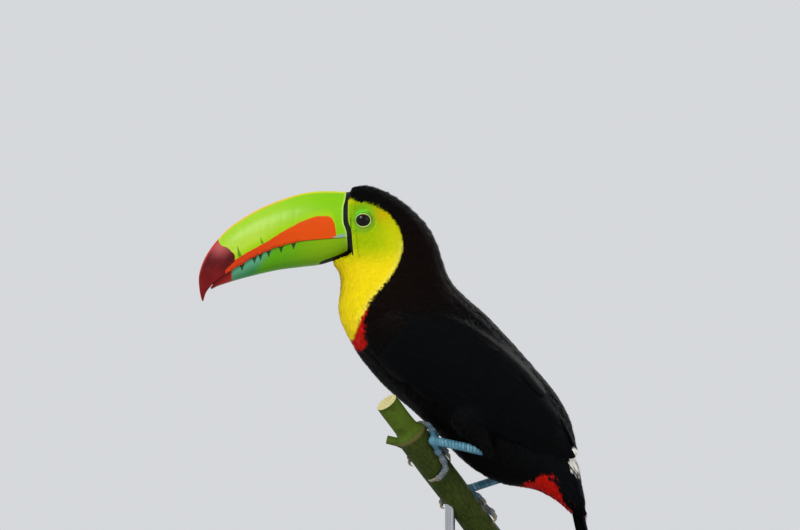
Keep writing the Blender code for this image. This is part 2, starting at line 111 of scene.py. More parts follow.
def add_piece(name, mesh, material, replaces=()):
    """An object with this mesh and finish, which may stand in for some of the solids."""
    mesh.name = name
    piece = bpy.data.objects.new(name, mesh)
    bpy.context.scene.collection.objects.link(piece)
    mesh.materials.clear()
    mesh.materials.append(material)
    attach(piece, "root")
    if replaces:
        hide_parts(*replaces)


def store(mesh, name, values, kind="FLOAT"):
    """Stores one value per point, which a material reads by its name."""
    layer = mesh.attributes.new(name, kind, "POINT")
    key = {"FLOAT": "value", "FLOAT_COLOR": "color"}[kind]
    layer.data.foreach_set(key, np.asarray(values, np.float32).ravel())


def read(items, key):
    values = np.empty(len(items) * 3, np.float32)
    items.foreach_get(key, values)
    return values.reshape(-1, 3).astype(float)


def points_of(mesh):
    return read(mesh.vertices, "co")


def set_points(mesh, points):
    """Moves the mesh's points to these places, in metres."""
    mesh.vertices.foreach_set("co", points.astype(np.float32).ravel())
    mesh.update()


def normals_of(mesh):
    return read(mesh.vertex_normals, "vector")


# %% Directions, circles, soft steps and smooth lines
def unit(vectors):
    return vectors / np.maximum(np.linalg.norm(vectors, axis=-1, keepdims=True), 1e-12)


def full_turn(count):
    """This many evenly spaced angles round a circle."""
    return np.arange(count) * 2 * math.pi / count


def ease(value, start, end):
    """0 before start, 1 after end, and smooth between. start may be the larger one."""
    t = np.clip((value - start) / (end - start), 0, 1)
    return t * t * (3 - 2 * t)


def spline(values, position):
    """The value at a position among evenly spaced values, on a smooth curve through all of them."""
    values = np.asarray(values, float)
    last = len(values) - 1
    i = np.clip(np.floor(position).astype(int), 0, last - 1)
    t = np.asarray(position - i)
    if values.ndim > 1:
        t = t[..., None]
    before = values[np.maximum(i - 1, 0)]
    start = values[i]
    end = values[i + 1]
    after = values[np.minimum(i + 2, last)]
    bend = 2 * before - 5 * start + 4 * end - after
    twist = 3 * start - before - 3 * end + after
    return 0.5 * (2 * start + (end - before) * t + bend * t**2 + twist * t**3)


# %% [markdown]
# ## Helpers for materials
#
# Every finish starts from a Principled shader. Its constant values are set on its own sockets. What varies
# over the surface comes from nodes, and a small graph class keeps those lines short.


# %% Node graphs
class Graph:
    """Adds nodes to a material or to a node group, and links them as they are added."""

    def __init__(self, tree):
        self.tree = tree

    def feed(self, socket, value):
        if isinstance(value, bpy.types.NodeSocket):
            self.tree.links.new(value, socket)
        else:
            socket.default_value = value

    def add(self, kind, inputs, out=0, **settings):
        """Adds a node, sets or links these inputs, and gives one output, or all where out is None."""
        node = self.tree.nodes.new("ShaderNode" + kind)
        for key, value in settings.items():
            setattr(node, key, value)
        for socket, value in inputs.items():
            self.feed(node.inputs[socket], value)
        return node.outputs if out is None else node.outputs[out]

    def math(self, operation, *values):
        return self.add("Math", dict(enumerate(values)), operation=operation)

    plus = partialmethod(math, "ADD")
    minus = partialmethod(math, "SUBTRACT")
    times = partialmethod(math, "MULTIPLY")
    divide = partialmethod(math, "DIVIDE")

    def remap(self, value, low, high, to_low=0, to_high=1, smooth=True):
        inputs = dict(enumerate((value, low, high, to_low, to_high)))
        return self.add("MapRange", inputs, interpolation_type="SMOOTHSTEP" if smooth else "LINEAR")

    def mix(self, share, first, second, blend="MIX"):
        """Two colours in one. The node's sockets for colours are 6 and 7, and its colour comes out at 2."""
        return self.add("Mix", {0: share, 6: first, 7: second}, 2, data_type="RGBA", blend_type=blend)

    def brighten(self, colour, factor):
        return self.add("HueSaturation", dict(Value=factor, Color=colour), "Color")

    def noise(self, scale, detail=3, roughness=0.55, place=None):
        """Soft noise from 0 to 1, in the object's own space unless a place is given."""
        inputs = dict(Vector=place or self.object_place(), Scale=scale, Detail=detail, Roughness=roughness)
        return self.add("TexNoise", inputs, "Fac")

    def stretch(self, size, place=None):
        return self.add("Mapping", dict(Vector=place or self.object_place(), Scale=size))

    def object_place(self):
        return self.add("TexCoord", {}, "Object")

    def value_of(self, name, output="Fac"):
        """What the mesh stores under this name: a number, or with the output Color a colour."""
        return self.add("Attribute", {}, output, attribute_name=name)

    def split(self, value, kind="XYZ"):
        return self.add("Separate" + kind, {0: value}, None)

    def curve(self, value, points):
        """The output of a smooth curve through points that go from 0 to 1 both ways."""
        node = self.tree.nodes.new("ShaderNodeFloatCurve")
        self.feed(node.inputs["Value"], value)
        line = node.mapping.curves[0]
        line.points[0].location = points[0]
        line.points[1].location = points[-1]
        for point in points[1:-1]:
            line.points.new(*point)
        node.mapping.update()
        return node.outputs[0]

    def group(self, tree, **inputs):
        return self.add("Group", inputs, None, node_tree=tree)


# %% Groups, materials and colours
def new_group(name, inputs, outputs):
    """An empty node group with named sockets, and the ends that its nodes link to.

    inputs holds each one's first value, if it takes a number, or else its kind. outputs holds kinds."""
    tree = bpy.data.node_groups.new(name, "ShaderNodeTree")
    for in_or_out, sockets in (("INPUT", inputs), ("OUTPUT", outputs)):
        for label, kind in sockets.items():
            number = not isinstance(kind, str)
            named_kind = "NodeSocket" + ("Float" if number else kind)
            socket = tree.interface.new_socket(label, in_out=in_or_out, socket_type=named_kind)
            if number:
                socket.default_value = kind
    start = tree.nodes.new("NodeGroupInput")
    end = tree.nodes.new("NodeGroupOutput")
    return tree, Graph(tree), start.outputs, end.inputs


def new_material(name, **constants):
    """A material with one Principled shader. Names such as coat_weight set its sockets."""
    made = bpy.data.materials.new(name)
    made.use_nodes = True
    shader = made.node_tree.nodes["Principled BSDF"]
    for key, value in constants.items():
        label = key.replace("_", " ").title().replace("Ior", "IOR")
        shader.inputs[label].default_value = value
    return made, Graph(made.node_tree), shader.inputs


def rgb(red, green, blue):
    """A colour from the 0 to 255 numbers of a paint chart, as the linear values that a shader takes."""
    parts = (red / 255, green / 255, blue / 255)
    return (*[part / 12.92 if part <= 0.04045 else ((part + 0.055) / 1.055) ** 2.4 for part in parts], 1)


# %% [markdown]
# ## Two effects that several finishes share
#
# *Relief* turns a height into a normal with a stated depth. *Mottle* lightens and darkens a colour in soft
# patches, since nothing in nature is one flat colour. Both are node groups, so each finish sets its own
# values.

# %% Shared node groups
RELIEF, g, start, end = new_group("relief", dict(Height=0, Depth=0.001), dict(Normal="Vector"))
raised = g.add("Bump", dict(Height=start["Height"], Distance=start["Depth"]), "Normal")
g.feed(end["Normal"], raised)

MOTTLE, g, start, end = new_group(
    "mottle", dict(Color="Color", Place="Vector", Scale=60, Amount=0.2), dict(Color="Color")
)
cloud = g.noise(start["Scale"], 4, 0.5, start["Place"])
swing = g.times(g.minus(cloud, 0.5), g.times(start["Amount"], 2))
g.feed(end["Color"], g.brighten(start["Color"], g.plus(swing, 1)))


def give_finish(g, shader, colour, height, depth):
    """Feeds the colour, and raises this height on the surface by this depth in metres."""
    g.feed(shader["Base Color"], colour)
    g.feed(shader["Normal"], g.group(RELIEF, Height=height, Depth=depth)["Normal"])


def mottled(g, colour, scale, amount):
    return g.group(MOTTLE, Color=colour, Place=g.object_place(), Scale=scale, Amount=amount)["Color"]


print("shared groups:", RELIEF.name, MOTTLE.name)

# %% [markdown]
# ## One form from seven solids
#
# Head, neck, trunk, wings and thighs are parted by thin cuts, which a real bird doesn't have. Copies of
# them are grown by half a millimetre, so that they run into each other, and are then remeshed in small
# cubes and smoothed. That gives one closed form with the true outline. Lofting it again would also work,
# but then the wings and thighs would need joining by hand.

# %% The form
FLESH = ["head", "neck", "trunk", "wing_left", "wing_right", "thigh_left", "thigh_right"]
CUBE = 1.2 * MM
GROWTH = 0.5 * MM  # more than half of a cut, so that neighbours run into each other
SMOOTH_STEPS = 8
WELD = 0.002 * MM


def joined_copy(names, grow):
    """One mesh with grown copies of these solids."""
    whole = bmesh.new()
    for name in names:
        part = bmesh.new()
        part.from_mesh(nodes[name].data)
        bmesh.ops.remove_doubles(part, verts=part.verts, dist=WELD)
        part.normal_update()
        for vert in part.verts:
            vert.co += vert.normal * grow
        copy = bpy.data.meshes.new("copy")
        part.to_mesh(copy)
        part.free()
        whole.from_mesh(copy)
        bpy.data.meshes.remove(copy)
    mesh = bpy.data.meshes.new("joined")
    whole.to_mesh(mesh)
    whole.free()
    return mesh


def remeshed(mesh, cube, smooth_steps):
    """The mesh as one closed skin of small squares, smoothed."""
    helper = bpy.data.objects.new("helper", mesh)
    bpy.context.scene.collection.objects.link(helper)
    cubes = helper.modifiers.new("cubes", "REMESH")
    cubes.mode = "VOXEL"
    cubes.voxel_size = cube
    soften = helper.modifiers.new("soften", "SMOOTH")
    soften.factor = 0.5
    soften.iterations = smooth_steps
    graph = bpy.context.evaluated_depsgraph_get()
    made = bpy.data.meshes.new_from_object(helper.evaluated_get(graph), depsgraph=graph)
    bpy.data.objects.remove(helper)
    return made


form = remeshed(joined_copy(FLESH, GROWTH), CUBE, SMOOTH_STEPS)
form_points = points_of(form)
form_normals = normals_of(form)
form.calc_loop_triangles()
form_triangles = np.empty(len(form.loop_triangles) * 3, np.int32)
form.loop_triangles.foreach_get("vertices", form_triangles)
form_triangles = form_triangles.reshape(-1, 3)
form_tree = BVHTree.FromPolygons(form_points.tolist(), form_triangles.tolist())
print("form:", len(form_points), "points", len(form_triangles), "triangles")

# %% [markdown]
# ## The lie of the coat
#
# Feathers point from the bill towards the tail. The body's stations, the same ones that shape the solids,
# say where that is: each is a ring between a point on the back and a point on the belly. A place on the
# body is then a station number and an angle round the ring, and the feathers lie square to the rings. Over
# a wing they follow the wing's own line, and over a thigh they point down the leg.

# %% Stations of the body, in millimetres: x and z on the back, x and z on the belly, half width
STATIONS = np.array([
    (-84.8, 417.2, -97.6, 358.4, 19.8), (-72.8, 420.8, -92.8, 352, 21.8),
    (-56, 415.6, -91.2, 344, 24), (-40, 405.6, -91.6, 336.8, 26.5),
    (-24.8, 390.8, -92.8, 329.6, 29), (-14.4, 372, -92.8, 321.6, 32),
    (-7, 349, -90.4, 311, 35.5), (6, 333, -84, 298, 39),
    (24, 317.6, -74.4, 283, 41.5), (44, 296.8, -58.4, 263.4, 43),
    (63.2, 275.2, -36.8, 244.4, 42.5), (79.2, 256, -14.4, 224, 40),
    (89.6, 238.4, 4.6, 203.6, 35), (94.4, 223.2, 22.4, 190.4, 28),
    (96.8, 209.6, 42.4, 182.4, 21), (98.4, 196.8, 63.2, 179.6, 17.5),
    (100.2, 184, 80.8, 171.2, 14.5), (104, 165.6, 93.6, 160, 10.5),
])
LAST = len(STATIONS) - 1
FINE_STEP = 0.25
fine = np.arange(0, LAST + 0.001, FINE_STEP)
ring_back = spline(STATIONS[:, :2], fine)
ring_belly = spline(STATIONS[:, 2:4], fine)
ring_middle = (ring_back + ring_belly) / 2
ring_up = (ring_back - ring_belly) / 2
ring_along = unit(np.stack([ring_up[:, 1], -ring_up[:, 0]], 1))
ring_width = spline(STATIONS[:, 4], fine)


def body_place(places):
    """(station, angle round the ring, way of the lie) for places in millimetres. Angle 0 is the back."""
    seen = places[:, [0, 2]]
    ahead = np.empty((len(seen), len(fine)), np.float32)
    for k in range(len(fine)):
        ahead[:, k] = (seen - ring_middle[k]) @ ring_along[k]
    first = np.argmax(ahead < 0, axis=1)
    first = np.where((ahead >= 0).all(axis=1), len(fine) - 1, np.maximum(first, 1))
    row = np.arange(len(seen))
    past = ahead[row, first - 1]
    share = np.clip(past / np.maximum(past - ahead[row, first], 1e-6), 0, 1)
    station = fine[first - 1] + FINE_STEP * share
    at = station / FINE_STEP
    up = spline(ring_up, at)
    middle = spline(ring_middle, at)
    rise = ((seen - middle) * up).sum(1) / (up**2).sum(1)
    out = places[:, 1] / spline(ring_width, at)
    way = unit(np.stack([up[:, 1], np.zeros(len(up)), -up[:, 0]], 1))
    return station, np.arctan2(out, rise), way


# %% The lie on a wing, a tail and a leg, and what is near to a solid
EYE = np.array([-73.4, 15.3, 393.2])
WING_SLOPE = math.radians(33.5)
WING_WAY = np.array([math.cos(WING_SLOPE), 0, -math.sin(WING_SLOPE)])
TAIL_WAY = unit(np.array([0.24, 0, -0.97]))
LEG_WAYS = {
    "thigh_left": unit(np.array([18.6, -5, -33.4])),
    "thigh_right": unit(np.array([22, -1, -41])),
}


def tree_of(name):
    data = nodes[name].data
    data.calc_loop_triangles()
    corners = [tuple(t.vertices) for t in data.loop_triangles]
    return BVHTree.FromPolygons([v.co.copy() for v in data.vertices], corners)


def nearest_on(name, points):
    """The nearest places on a solid, and how far off they are, all in millimetres."""
    tree = tree_of(name)
    hits = [tree.find_nearest(point) for point in (points * MM).tolist()]
    return np.array([hit[0] for hit in hits]) / MM, np.array([hit[3] for hit in hits]) / MM


def near(name, places, reach):
    """Which of these places, in millimetres, are within reach of a solid."""
    tree = tree_of(name)
    found = np.zeros(len(places), bool)
    low, high = np.array(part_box(name)) / MM
    maybe = ((places > low - reach) & (places < high + reach)).all(axis=1)
    for k in np.flatnonzero(maybe):
        found[k] = tree.find_nearest(Vector(places[k] * MM), reach * MM)[0] is not None
    return found


print("stations:", len(STATIONS), "rings for the lie:", len(fine))

# %% [markdown]
# ## Markings
#
# The pattern belongs to the bird, not to a mesh, so it is worked out once, for any place on the body, and
# both the skin and each feather's root ask for it. The yellow face and bib end in an arc behind the cheek
# and in a curve down the throat. A thin red band lies under the bib, the nape is tinged maroon, the upper
# tail coverts are white and the under tail coverts red. A black band runs down behind the bill and ends
# under the gape.

# %% The pattern's lines, in millimetres, seen from the side
CHEEK = np.array([-76, 373.6])
CHEEK_RADIUS = 34
CHEEK_FOOT = 368.3
BROW = 407.8
BIB_FOOT = 299.8
THROAT_HEIGHTS = [299.8, 312.8, 327.4, 335.8, 344, 352, 360.2, 368.3]
THROAT_EDGES = [-80.8, -76.2, -68.8, -62.4, -55, -49.2, -45.1, -42.4]
BAND_HEIGHTS = [358, 366.5, 370.7, 376.5, 382.2, 387.2, 394.3, 401.5, 408.6, 414.3, 420]
BAND_FRONT = [-87.5, -87.3, -85.7, -86, -86.4, -87.6, -89.3, -89.3, -88, -87.1, -86.6]
BAND_REAR = [-80, -81, -81.4, -81.9, -82.3, -83.4, -85.3, -85.5, -85.3, -84.8, -84.4]


def bib_depth(x, z):
    """How far inside the yellow a place is, seen from the side. It is negative outside."""
    cheek = CHEEK_RADIUS - np.hypot(x - CHEEK[0], z - CHEEK[1])
    brow = BROW + 0.35 * (CHEEK[0] - x) - z
    above = np.where(x > CHEEK[0], cheek, brow)
    rear = (np.interp(z, THROAT_HEIGHTS, THROAT_EDGES) - x) * 0.78
    under = (z - (BIB_FOOT + 0.85 * np.minimum(x + 80, 0))) * 0.76
    below = np.minimum(rear, under)
    return np.where(z > CHEEK_FOOT, above, below)


def rear_of_band(z):
    return np.interp(z, BAND_HEIGHTS, BAND_REAR)


def band_end(y):
    """The height at which the black band ends, under the gape. It rises outwards, along the jaw."""
    return 366 + 2.2 * ease(np.abs(y), 11, 22)


# %% The shares of each colour at any place
TEMPLE = np.array([-59, 398])
RED_HEIGHTS = [282, 299, 315, 325]
RED_WIDTHS = [8, 7, 3.5, 0]


def markings(places, station, angle):
    """Two sets of four shares from 0 to 1: (yellow, red, white, maroon) and (green, pale, orange, painted
    sheen).
    """
    x, y, z = places.T
    depth = bib_depth(x, z)
    back = np.cos(angle)
    past_band = ease(x - rear_of_band(z), -0.4, 0.4)
    yellow = ease(depth, -0.5, 0.5) * np.maximum(past_band, ease(z - band_end(y), 0.5, -0.5))
    red_width = np.interp(z, RED_HEIGHTS, RED_WIDTHS)
    red = ease(-depth, red_width + 0.8, red_width - 0.8) * (1 - yellow) * (red_width > 0.1) * (station < 9)
    side_edge = ease(x - (84.8 + 0.15 * (186 - z)), 0.5, -0.5)
    under_tail = ease(back, -0.08, -0.16) * np.maximum(side_edge, ease(back, -0.62, -0.7))
    red = np.maximum(red, ease(station, 14.3, 14.6) * under_tail)
    white = ease(station, 13.95, 14.1) * ease(station, 15.5, 15.35)
    white = white * ease(back, 0.6, 0.68) * ease(x, 89.5, 91)
    maroon = ease(station, 1.5, 4.5) * ease(station, 8.5, 5.5) * (1 - yellow)
    from_eye = np.hypot((x - EYE[0] + 1) / 1.1, z - EYE[2] - 1.5)
    green = 0.5 * ease(z, 354, 376) * ease(z, 418, 403) * (1 - 0.4 * ease(x, -66, -46))
    green = green + 0.5 * ease(from_eye, 15, 8.5) * (1 - 0.6 * ease(x, -78.5, -83.5))
    pale = 0.5 * ease(depth, 4, 0.5) * ease(z, 383, 369) * ease(z, 302, 322)
    pale = pale * ease(np.abs(y), 6, 14)
    orange = 0.75 * np.exp(-(((x - TEMPLE[0]) / 7.5) ** 2) - ((z - TEMPLE[1]) / 6.5) ** 2)
    # painted sheen: a slightly bluer black over the back, from the lower neck to the tail
    sheen = ease(station, 7, 8.5) * ease(back, -0.5, 0.1)
    return np.stack([yellow, red, white, maroon], 1), np.stack([green, pale, orange, sheen], 1)


# %% The plumage's colours as a group
PLUMAGE, g, start, end = new_group(
    "toucan_plumage",
    dict(Marks="Color", White=0, Maroon=0, Hints="Color", Sheen=0, Tone=0.5),
    dict(Color="Color"),
)
marks = g.split(start["Marks"], "Color")
hints = g.split(start["Hints"], "Color")
# painted sheen: where the sheen share lies, the black is a little bluer
black = g.mix(start["Sheen"], rgb(7, 7, 6), rgb(8, 10, 12))
black = g.mix(start["Maroon"], black, rgb(14, 5, 3))
yellow = g.mix(g.remap(hints[0], 0, 0.5, smooth=False), rgb(244, 220, 18), rgb(172, 197, 3))
yellow = g.mix(g.remap(hints[0], 0.5, 1, smooth=False), yellow, rgb(128, 192, 20))
yellow = g.mix(g.times(hints[2], 0.6), yellow, rgb(232, 160, 8))
yellow = g.mix(g.times(hints[1], 0.75), yellow, rgb(250, 238, 110))
plumage = g.mix(marks[0], black, yellow)
plumage = g.mix(marks[1], plumage, rgb(196, 22, 12))
plumage = g.mix(start["White"], plumage, rgb(244, 241, 230))
calm = g.remap(start["Tone"], 0, 1, 0.94, 1.05, smooth=False)
lively = g.remap(start["Tone"], 0, 1, 0.78, 1.18, smooth=False)
share = g.times(g.minus(lively, calm), g.minus(1, marks[0]))
g.feed(end["Color"], g.brighten(plumage, g.plus(calm, share)))


def plumage_colour(g):
    """The pattern's colour in a material whose mesh carries marks, hints and tone."""
    values = {label: g.value_of(label.lower()) for label in ("White", "Maroon", "Sheen", "Tone")}
    values.update({label: g.value_of(label.lower(), "Color") for label in ("Marks", "Hints")})
    return g.group(PLUMAGE, **values)["Color"]


def store_marks(mesh, first, second, tone):
    opaque = np.ones((len(first), 1))
    store(mesh, "marks", np.hstack([first[:, [0, 1, 1]], opaque]), "FLOAT_COLOR")
    store(mesh, "white", first[:, 2])
    store(mesh, "maroon", first[:, 3])
    store(mesh, "hints", np.hstack([second[:, :3], opaque]), "FLOAT_COLOR")
    store(mesh, "sheen", second[:, 3])
    store(mesh, "tone", tone)


print("cheek arc:", CHEEK_RADIUS, "mm, red band up to", max(RED_WIDTHS), "mm deep")


# %% [markdown]
# ## Skin
#
# Under the feathers lies one skin, a little inside the form, with no seam from the bill to the tail. It
# could be drawn in by an even amount, but feathers are shorter on the face, so it lies higher there, and at
# the chin it rises to meet the horn. It shows only as depth between the feathers, so its finish is dull,
# with a fine goose-flesh relief.

# %% The skin
SKIN_DEPTH_BODY = 1.9
SKIN_DEPTH_FACE = 1
SKIN_DEPTH_AT_HORN = -0.1
form_place = form_points / MM
form_station, form_angle, _ = body_place(form_place)
skin_depth = SKIN_DEPTH_FACE + (SKIN_DEPTH_BODY - SKIN_DEPTH_FACE) * ease(form_station, 1, 5)
chin = np.flatnonzero((form_place[:, 2] < 369) & (form_place[:, 0] < -76))
_, from_horn = nearest_on("bill_lower", form_place[chin])
skin_depth[chin] += (SKIN_DEPTH_AT_HORN - skin_depth[chin]) * ease(from_horn, 3.2, 1.2)
skin_mesh = form.copy()
set_points(skin_mesh, form_points - form_normals * skin_depth[:, None] * MM)
store_marks(skin_mesh, *markings(form_place, form_station, form_angle), np.full(len(form_place), 0.2))

skin_material, g, shader = new_material("feathered_skin", roughness=0.8, specular_ior_level=0.08)
grain = g.noise(900)
give_finish(g, shader, plumage_colour(g), grain, 0.0004)
add_piece("skin", skin_mesh, skin_material, FLESH)
print("skin:", len(skin_mesh.polygons), "faces")

# %% [markdown]
# ## Where each feather grows
#
# Roots are scattered over the form with an even spacing, which is small on the face and large on the belly.
# Rows would be simpler, but they show as lines. Many more places are drawn than needed, and each root that
# is kept clears the places round it. Then each feather's middle line is walked over the form in three
# steps, so that a long feather bends with the body.

# %% How long the feathers are, in millimetres
LENGTHS_AT = [0, 1.5, 3.5, 5.5, 8, 11, 14, 17]  # stations
LENGTHS = [3.4, 4.4, 6.4, 8.6, 11, 13, 12.5, 14]
SHORTEST = 2


def feather_length(places, station, depth):
    """Short on the face, shortest round the eye and at the bill, long towards the tail."""
    length = np.interp(station, LENGTHS_AT, LENGTHS)
    from_eye = np.hypot(places[:, 0] - EYE[0], places[:, 2] - EYE[2])
    from_bill = np.maximum(places[:, 0] + 84, 0)
    face = SHORTEST + 0.05 * np.minimum(from_eye, 60) + 0.05 * np.minimum(from_bill, 30)
    face = (face + 3.2 * ease(places[:, 2], 368, 310)) * (0.6 + 0.4 * ease(depth, 0, 7))
    return np.where(depth > 0, np.minimum(face, length), length)


print("feathers from", SHORTEST, "to", max(LENGTHS), "mm long")

# %% Many random places on the form
corner = [form_points[form_triangles[:, k]] for k in range(3)]
area = np.linalg.norm(np.cross(corner[1] - corner[0], corner[2] - corner[0]), axis=1) / 2
middle = (corner[0] + corner[1] + corner[2]) / 3 / MM
mid_station = body_place(middle)[0]
mid_length = feather_length(middle, mid_station, bib_depth(middle[:, 0], middle[:, 2]))
SPACING_SHARE = 0.215
OVERDRAW = 5
wanted = area / (mid_length * SPACING_SHARE * MM) ** 2
draws = chance.choice(len(area), int(wanted.sum() * OVERDRAW), p=wanted / wanted.sum())
a, b = chance.random((2, len(draws)))
fold = a + b > 1
a[fold] = 1 - a[fold]
b[fold] = 1 - b[fold]
first_edge = (corner[1] - corner[0])[draws] * a[:, None]
second_edge = (corner[2] - corner[0])[draws] * b[:, None]
root = corner[0][draws] + first_edge + second_edge
print("area in cm2:", round(area.sum() * 1e4), "places drawn:", len(draws))

# %% Where no feather grows: round the eye, at the horn, on the band and on the rear cut of the body
EYE_BARE = 9
HORN_BARE = 0.9
BROW_FRONT = -82.6
REAR_CUT = 16.4
place = root / MM
station, angle, way = body_place(place)
depth = bib_depth(place[:, 0], place[:, 2])
length = feather_length(place, station, depth)
normal = unit(
    form_normals[form_triangles[draws, 0]]
    + form_normals[form_triangles[draws, 1]]
    + form_normals[form_triangles[draws, 2]]
)
bare = np.hypot(place[:, 0] - EYE[0], (place[:, 2] - EYE[2]) * 1.08) < EYE_BARE
bare |= near("bill_upper", place, HORN_BARE) | near("bill_lower", place, HORN_BARE)
facing_bill = (place[:, 0] < BROW_FRONT) & (normal[:, 0] < -0.75)
bare |= facing_bill & (place[:, 2] > 361) & (np.abs(place[:, 1]) < 12)
bare |= (place[:, 2] > band_end(place[:, 1])) & (place[:, 0] < rear_of_band(place[:, 2]) + 0.1)
bare |= (station > REAR_CUT) & ((normal * way).sum(1) > 0.5)
print("places left bare:", int(bare.sum()))

# %% Thin the places out to evenly spaced roots
def search_tree(places):
    """Finds the places that are nearest to a point."""
    tree = KDTree(len(places))
    for k, point in enumerate(places.tolist()):
        tree.insert(point, k)
    tree.balance()
    return tree


def spaced_out(places, spacing, alive):
    """Which places stay, when each one that stays clears the others within its spacing."""
    tree = search_tree(places)
    kept = []
    for k in range(len(places)):
        if alive[k]:
            kept.append(k)
            for _, other, _ in tree.find_range(places[k], spacing[k]):
                alive[other] = False
    return kept


kept = spaced_out(root, length * SPACING_SHARE * MM, ~bare)
root, place, station, angle, way, depth, length, normal = (
    values[kept] for values in (root, place, station, angle, way, depth, length, normal)
)
print("roots:", len(root))

# %% [markdown]
# ### The row along the bill
#
# On the real bird the smallest feathers of all start in an even line behind the bill's black band, and hide
# where horn turns into skin. Scattering can't give such a line, so these roots are laid out in rows: a line
# round the bill's rear edge is cut into equal steps, and each row lies a little further back, first on the
# horn and then on the form.

# %% A line round the bill's rear edge, from under one corner of the gape over the ridge to the other
GAPE_HEIGHT = 380
BILL_HEAD_ROOM = 36
KEEL = 0.22
turn = np.linspace(0, math.pi, 65)
upper_ring = np.stack([18.4 * np.cos(turn) * (1 - KEEL * np.sin(turn) ** 6),
                       GAPE_HEIGHT + BILL_HEAD_ROOM * np.sin(turn)], 1)
lower_ring = np.stack([-17.8 * np.cos(turn), GAPE_HEIGHT - 0.3 - 13.6 * np.sin(turn)], 1)
outline = np.concatenate([lower_ring[-12:-1], upper_ring, lower_ring[1:12]])


def evenly(points, pitch):
    """Points at equal steps along an open line."""
    reach = np.concatenate([[0], np.cumsum(np.linalg.norm(np.diff(points, axis=0), axis=1))])
    at = np.arange(0, reach[-1], pitch)
    return np.stack([np.interp(at, reach, column) for column in points.T], 1)


def form_hit(start, aim):
    """Where a ray from outside meets the form, in metres, with the normal there."""
    way = Vector(aim) - Vector(start)
    spot_hit, up, _, _ = form_tree.ray_cast(Vector(start), way.normalized())
    return spot_hit, up


HORN_END = -83.9
FORM_FRONT = -82.2
HEAD_MIDDLE = 388


# %% Rows behind that line
def behind_bill(edge, xs, proud):
    """Places at these xs: on the bill's edge line in front, on the form behind, and on a slope between."""
    away = unit(edge - [0, HEAD_MIDDLE])
    places, normals = [], []
    for x, (y, z), (away_y, away_z) in zip(xs, edge, away):
        on_form_x = max(x, FORM_FRONT)
        far_out = (on_form_x * MM, (y + 60 * away_y) * MM, (z + 60 * away_z) * MM)
        spot_hit, _ = form_hit(far_out, (on_form_x * MM, 0, HEAD_MIDDLE * MM))
        share = float(ease(x, HORN_END, FORM_FRONT))
        flat = np.array([y, z]) * (1 - share) + np.array([spot_hit[1], spot_hit[2]]) / MM * share
        places.append([x, *(flat + proud * np.array([away_y, away_z]))])
        _, up = form_hit((-80.5 * MM, far_out[1], far_out[2]), (-80.5 * MM, 0, HEAD_MIDDLE * MM))
        normals.append([0.3 * up[0], up[1] + away_y, up[2] + away_z])
    window = np.ones(21) / 21
    padded = np.pad(np.array(normals), ((10, 10), (0, 0)), "edge")
    normals = np.stack([np.convolve(padded[:, k], window, "valid") for k in range(3)], 1)
    return np.array(places), unit(normals)


EDGE_ROWS = 5
EDGE_STEP = 0.55
EDGE_PITCH = 0.5
EDGE_PROUD = 0.15
edge = evenly(outline, EDGE_PITCH)
row_xs = [rear_of_band(edge[:, 1]) + 0.15 + EDGE_STEP * row for row in range(EDGE_ROWS)]
edge_rows = [behind_bill(edge, xs, EDGE_PROUD) for xs in row_xs]
edge_place = np.concatenate([r[0] for r in edge_rows])
edge_normal = np.concatenate([r[1] for r in edge_rows])
edge_station, edge_angle, edge_way = body_place(edge_place)
edge_depth = bib_depth(edge_place[:, 0], edge_place[:, 2])
edge_length = feather_length(edge_place, edge_station, edge_depth).reshape(EDGE_ROWS, -1)
edge_length = edge_length * chance.uniform(0.7, 1.5, edge_length.shape)
edge_line = []
for xs, row_length in zip(row_xs, edge_length):
    steps = [behind_bill(edge, xs + row_length * t, EDGE_PROUD)[0] for t in (0, 1 / 3, 2 / 3, 1)]
    edge_line.append(np.stack(steps, 1))
edge_line = np.concatenate(edge_line) + chance.normal(0, 0.08, (len(edge_place), 1, 3))

# %% Keep the rows that are needed, and join them to the other roots
row_number = np.repeat(np.arange(EDGE_ROWS), len(edge))
needed = (row_number < 2) | (edge_place[:, 0] < -81.8)
edge_line = edge_line[needed]
scattered = (root, place, station, angle, way, depth, length, normal)
in_rows = (edge_place * MM, edge_place, edge_station, edge_angle, edge_way, edge_depth, edge_length.ravel(),
           edge_normal)
root, place, station, angle, way, depth, length, normal = (
    np.concatenate([ours, theirs[needed]]) for ours, theirs in zip(scattered, in_rows)
)
edge_count = int(needed.sum())
proud = np.zeros(len(root))
proud[-edge_count:] = 0.12 + 0.3 * ease(place[-edge_count:, 0], -81.6, -83.2)
print("roots along the bill:", edge_count)

# %% Which of them grow on a wing or on a thigh
SHOULDER = np.array([-69, 307])
VANES_START = 34  # along the wing from the shoulder
WING_END_STARTS = 150
on_wing = near("wing_left", place, 0.8) | near("wing_right", place, 0.8)
way[on_wing] = WING_WAY
to_tail = ease(station, 12.5, 15.5)[:, None] * ~on_wing[:, None]
way = unit(way * (1 - to_tail) + TAIL_WAY * to_tail)
along_wing = (place - [SHOULDER[0], 0, SHOULDER[1]]) @ WING_WAY
under_vanes = on_wing & (along_wing > VANES_START)
wing_end = on_wing & (along_wing > WING_END_STARTS)
way[wing_end] = TAIL_WAY
on_thigh = np.zeros(len(root), bool)
for name, leg_way in LEG_WAYS.items():
    found = near(name, place, 1.2) & ~on_wing
    way[found] = leg_way
    on_thigh |= found
length[on_thigh] = 8.5
length[on_wing] = np.minimum(length[on_wing], 9)
length[wing_end] = 6.5
print("on the wings:", on_wing.sum(), "on the thighs:", on_thigh.sum())


# %% A way to walk each feather's middle line over the form
STEPS = 3
LEAVES_FORM = 2 * MM


